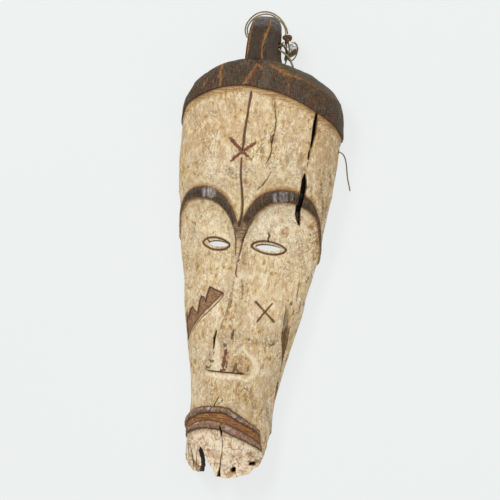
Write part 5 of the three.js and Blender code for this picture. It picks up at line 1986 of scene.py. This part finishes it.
# %% Scar, strokes, cuts and cracks
SCAR_GRIT = [
    ("fine", 0.56, 0.62, 0.70, (78, 50, 36)),
    ("fine", 0.44, 0.38, 0.70, (204, 172, 126)),
]
RED_GRIT = [("fine", 0.56, 0.64, 0.50, (60, 34, 24))]
GOUGE_GRAIN = [
    ("streak", 0.50, 0.58, 0.60, (78, 54, 32)),
    ("grain", 0.50, 0.42, 0.50, (168, 136, 92)),
]


def scar_and_strokes(paint, colour):
    scar = paint.two_tones(paint.crumbs, 0.42, 0.58, (96, 60, 42), (148, 106, 70))
    scar = paint.layers(scar, SCAR_GRIT)
    scar = paint.coat(scar, paint.outlined("scar", 1.4), 0.85, (78, 48, 34))
    red = paint.two_tones(paint.crumbs, 0.42, 0.58, (84, 42, 28), (132, 78, 54))
    red = paint.layers(red, RED_GRIT)
    brown_marks = paint.times(paint.edge("stain", -0.6, 0.5, 1.8), paint.step(paint.fine, 0.36, 0.46))
    grey_marks = paint.times(paint.edge("grey", -0.5, 0.5, 1.2), paint.step(paint.fine, 0.38, 0.50))
    return paint.coats(colour, [
        (paint.edge("scar", -0.3, 0.4, 0.6), 0.92, scar),
        (brown_marks, 0.75, (116, 82, 46)),
        (paint.edge("red_stroke", -0.5, 0.3, 2.3), 0.95, red),
        (grey_marks, 0.80, (112, 98, 88)),
    ])


def cuts_and_cracks(paint, colour):
    line_paint = paint.two_tones(paint.crumbs, 0.44, 0.56, (58, 36, 26), (98, 64, 44))
    gouge_paint = paint.two_tones(paint.mask("plate"), -0.4, 0.6, (110, 80, 50), (178, 168, 142))
    gouge_paint = paint.layers(gouge_paint, GOUGE_GRAIN)
    round_gouge = paint.times(paint.step(paint.mask("gouge"), -4.0, -0.3),
                              paint.step(paint.grain, 0.44, 0.56))
    fleck_paint = paint.two_tones(paint.fine, 0.46, 0.56, (56, 44, 40), (122, 92, 66))
    return paint.coats(colour, [
        (paint.outlined("cut_line", 1.1), 0.45, (150, 112, 70)),
        (paint.edge("cut_line", -0.40, 0.25, 0.35), 0.92, line_paint),
        (paint.edge("slit_edge", -0.3, 0.3, 0.3), 0.85, (72, 48, 30)),
        (round_gouge, 0.80, (150, 110, 62)),
        (paint.edge("gouge", -0.3, 0.6, 0.7), 0.95, gouge_paint),
        (paint.edge("fleck", -0.6, 0.3, 1.6), 0.85, fleck_paint),
        (paint.edge("fine_crack", -0.35, 0.2, 0.4), 0.90, (62, 44, 26)),
        (paint.outlined("crack", 1.1), 0.70, (112, 78, 46)),
        # painted shade: the inside of each open split is near black
        (paint.edge("crack", -0.35, 0.25, 0.25), 1.00, (20, 13, 6)),
    ])


print("marks: grit on the scar and the strokes, grain in the gouge")


# %% [markdown]
# ### The whole finish
# The surface is dull clay, a little smoother on the stained cap, and smoother still on the wax and the
# lips. Bump adds only the pores and the crumbs of clay, because every larger form is already in the mesh.
# The hollow is raw, dry wood.

# %% The whole finish
CLAY_ROUGHNESS, WAX_ROUGHNESS = 0.82, 0.42
CAP_SMOOTHER, LIPS_SMOOTHER = 0.16, 0.28
RELIEF_DEPTH, PORE_DEPTH = 0.5, 0.14


def surface(paint, cap, brow, lips):
    """How rough each part is."""
    roughness = paint.step(brow, 0, 1, CLAY_ROUGHNESS, WAX_ROUGHNESS)
    roughness = paint.sum("SUBTRACT", roughness, paint.times(cap, CAP_SMOOTHER))
    roughness = paint.sum("SUBTRACT", roughness, paint.times(lips, LIPS_SMOOTHER))
    return paint.sum("MULTIPLY_ADD", paint.sum("SUBTRACT", paint.fine, 0.5), 0.25, roughness)


def pores(paint, cap, brow, pits, crazed):
    """The finest relief, as a bumped normal."""
    dark = paint.sum("MAXIMUM", cap, brow)
    relief = paint.sum("ADD", paint.times(paint.grain, 0.7), paint.times(paint.crumbs, 0.8))
    relief = paint.sum("ADD", relief, paint.times(paint.streak, paint.sum("MULTIPLY_ADD", dark, 0.6, 0.3)))
    relief = paint.sum("SUBTRACT", relief, paint.times(pits, 0.5))
    relief = paint.sum("SUBTRACT", relief, paint.times(crazed, 0.6))
    return paint.bump(paint.fine, PORE_DEPTH, paint.bump(relief, RELIEF_DEPTH))


def clay_and_paint():
    paint = CarvingFinish("clay_slip_and_paint")
    colour, pits = clay_slip(paint)
    colour, crazed = chin_dirt_and_recess_shade(paint, colour)
    colour = rubbed_places(paint, colour)
    colour, cap = strip_and_cap(paint, colour)
    colour, brow = waxed_brows(paint, colour)
    colour, lips = lips_and_mouth(paint, colour)
    colour = scar_and_strokes(paint, colour)
    colour = cuts_and_cracks(paint, colour)
    raw_wood = paint.two_tones(paint.grain, 0.35, 0.68, (112, 84, 55), (158, 126, 86))
    raw_wood = paint.coat(raw_wood, paint.step(paint.cloud, 0.5, 0.7), 0.60, (84, 62, 40))
    colour = paint.mix(paint.mask("hollow"), colour, raw_wood)
    return paint.finish(colour, surface(paint, cap, brow, lips), pores(paint, cap, brow, pits, crazed),
                        specular=0.35)


carving_finish = clay_and_paint()
print("the carving's finish has", len(carving_finish.node_tree.nodes), "nodes")


# %% [markdown]
# ## Dress the carving
# Where the wood was cut or broken through, its sides show end grain and torn fibre instead of clay: pale
# in the eye slits, nearly black in the split of the chin and in the holes, and brown along the broken
# edge. The near black is painted shade. Those faces are known from the cuts, so each kind gets a material
# of its own.

# %% Dress the carving
def cut_wood(name, dark, pale):
    """End grain and torn fibre."""
    paint = Finish(name)
    grain = paint.noise((1.0, 6.0, 1.0), 4.0, 0.6)
    blot = paint.noise(5.0, 3.0)
    colour = paint.mix(paint.step(grain, 0.35, 0.65), srgb(*dark), srgb(*pale))
    colour = paint.mix(paint.sum("MULTIPLY", paint.step(blot, 0.45, 0.65), 0.6), colour, srgb(*dark))
    return paint.finish(colour, 0.85, paint.bump(grain, 0.4), specular=0.3)


mask.data.materials.append(carving_finish)
for name, dark, pale in (("eye_slit_sides", (168, 124, 84), (206, 168, 124)),
                         # painted shade: near-black wood for the sides of the split and the holes
                         ("split_wood_sides_shaded", (40, 28, 18), (92, 68, 44)),
                         ("broken_edge_sides", (104, 76, 48), (176, 144, 102))):
    mask.data.materials.append(cut_wood(name, dark, pale))
mask.data.polygons.foreach_set("material_index", sides.tolist())
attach(mask, "root")
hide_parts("mask")
print("carving finished with", len(mask.data.materials), "materials")


# %% [markdown] ## End
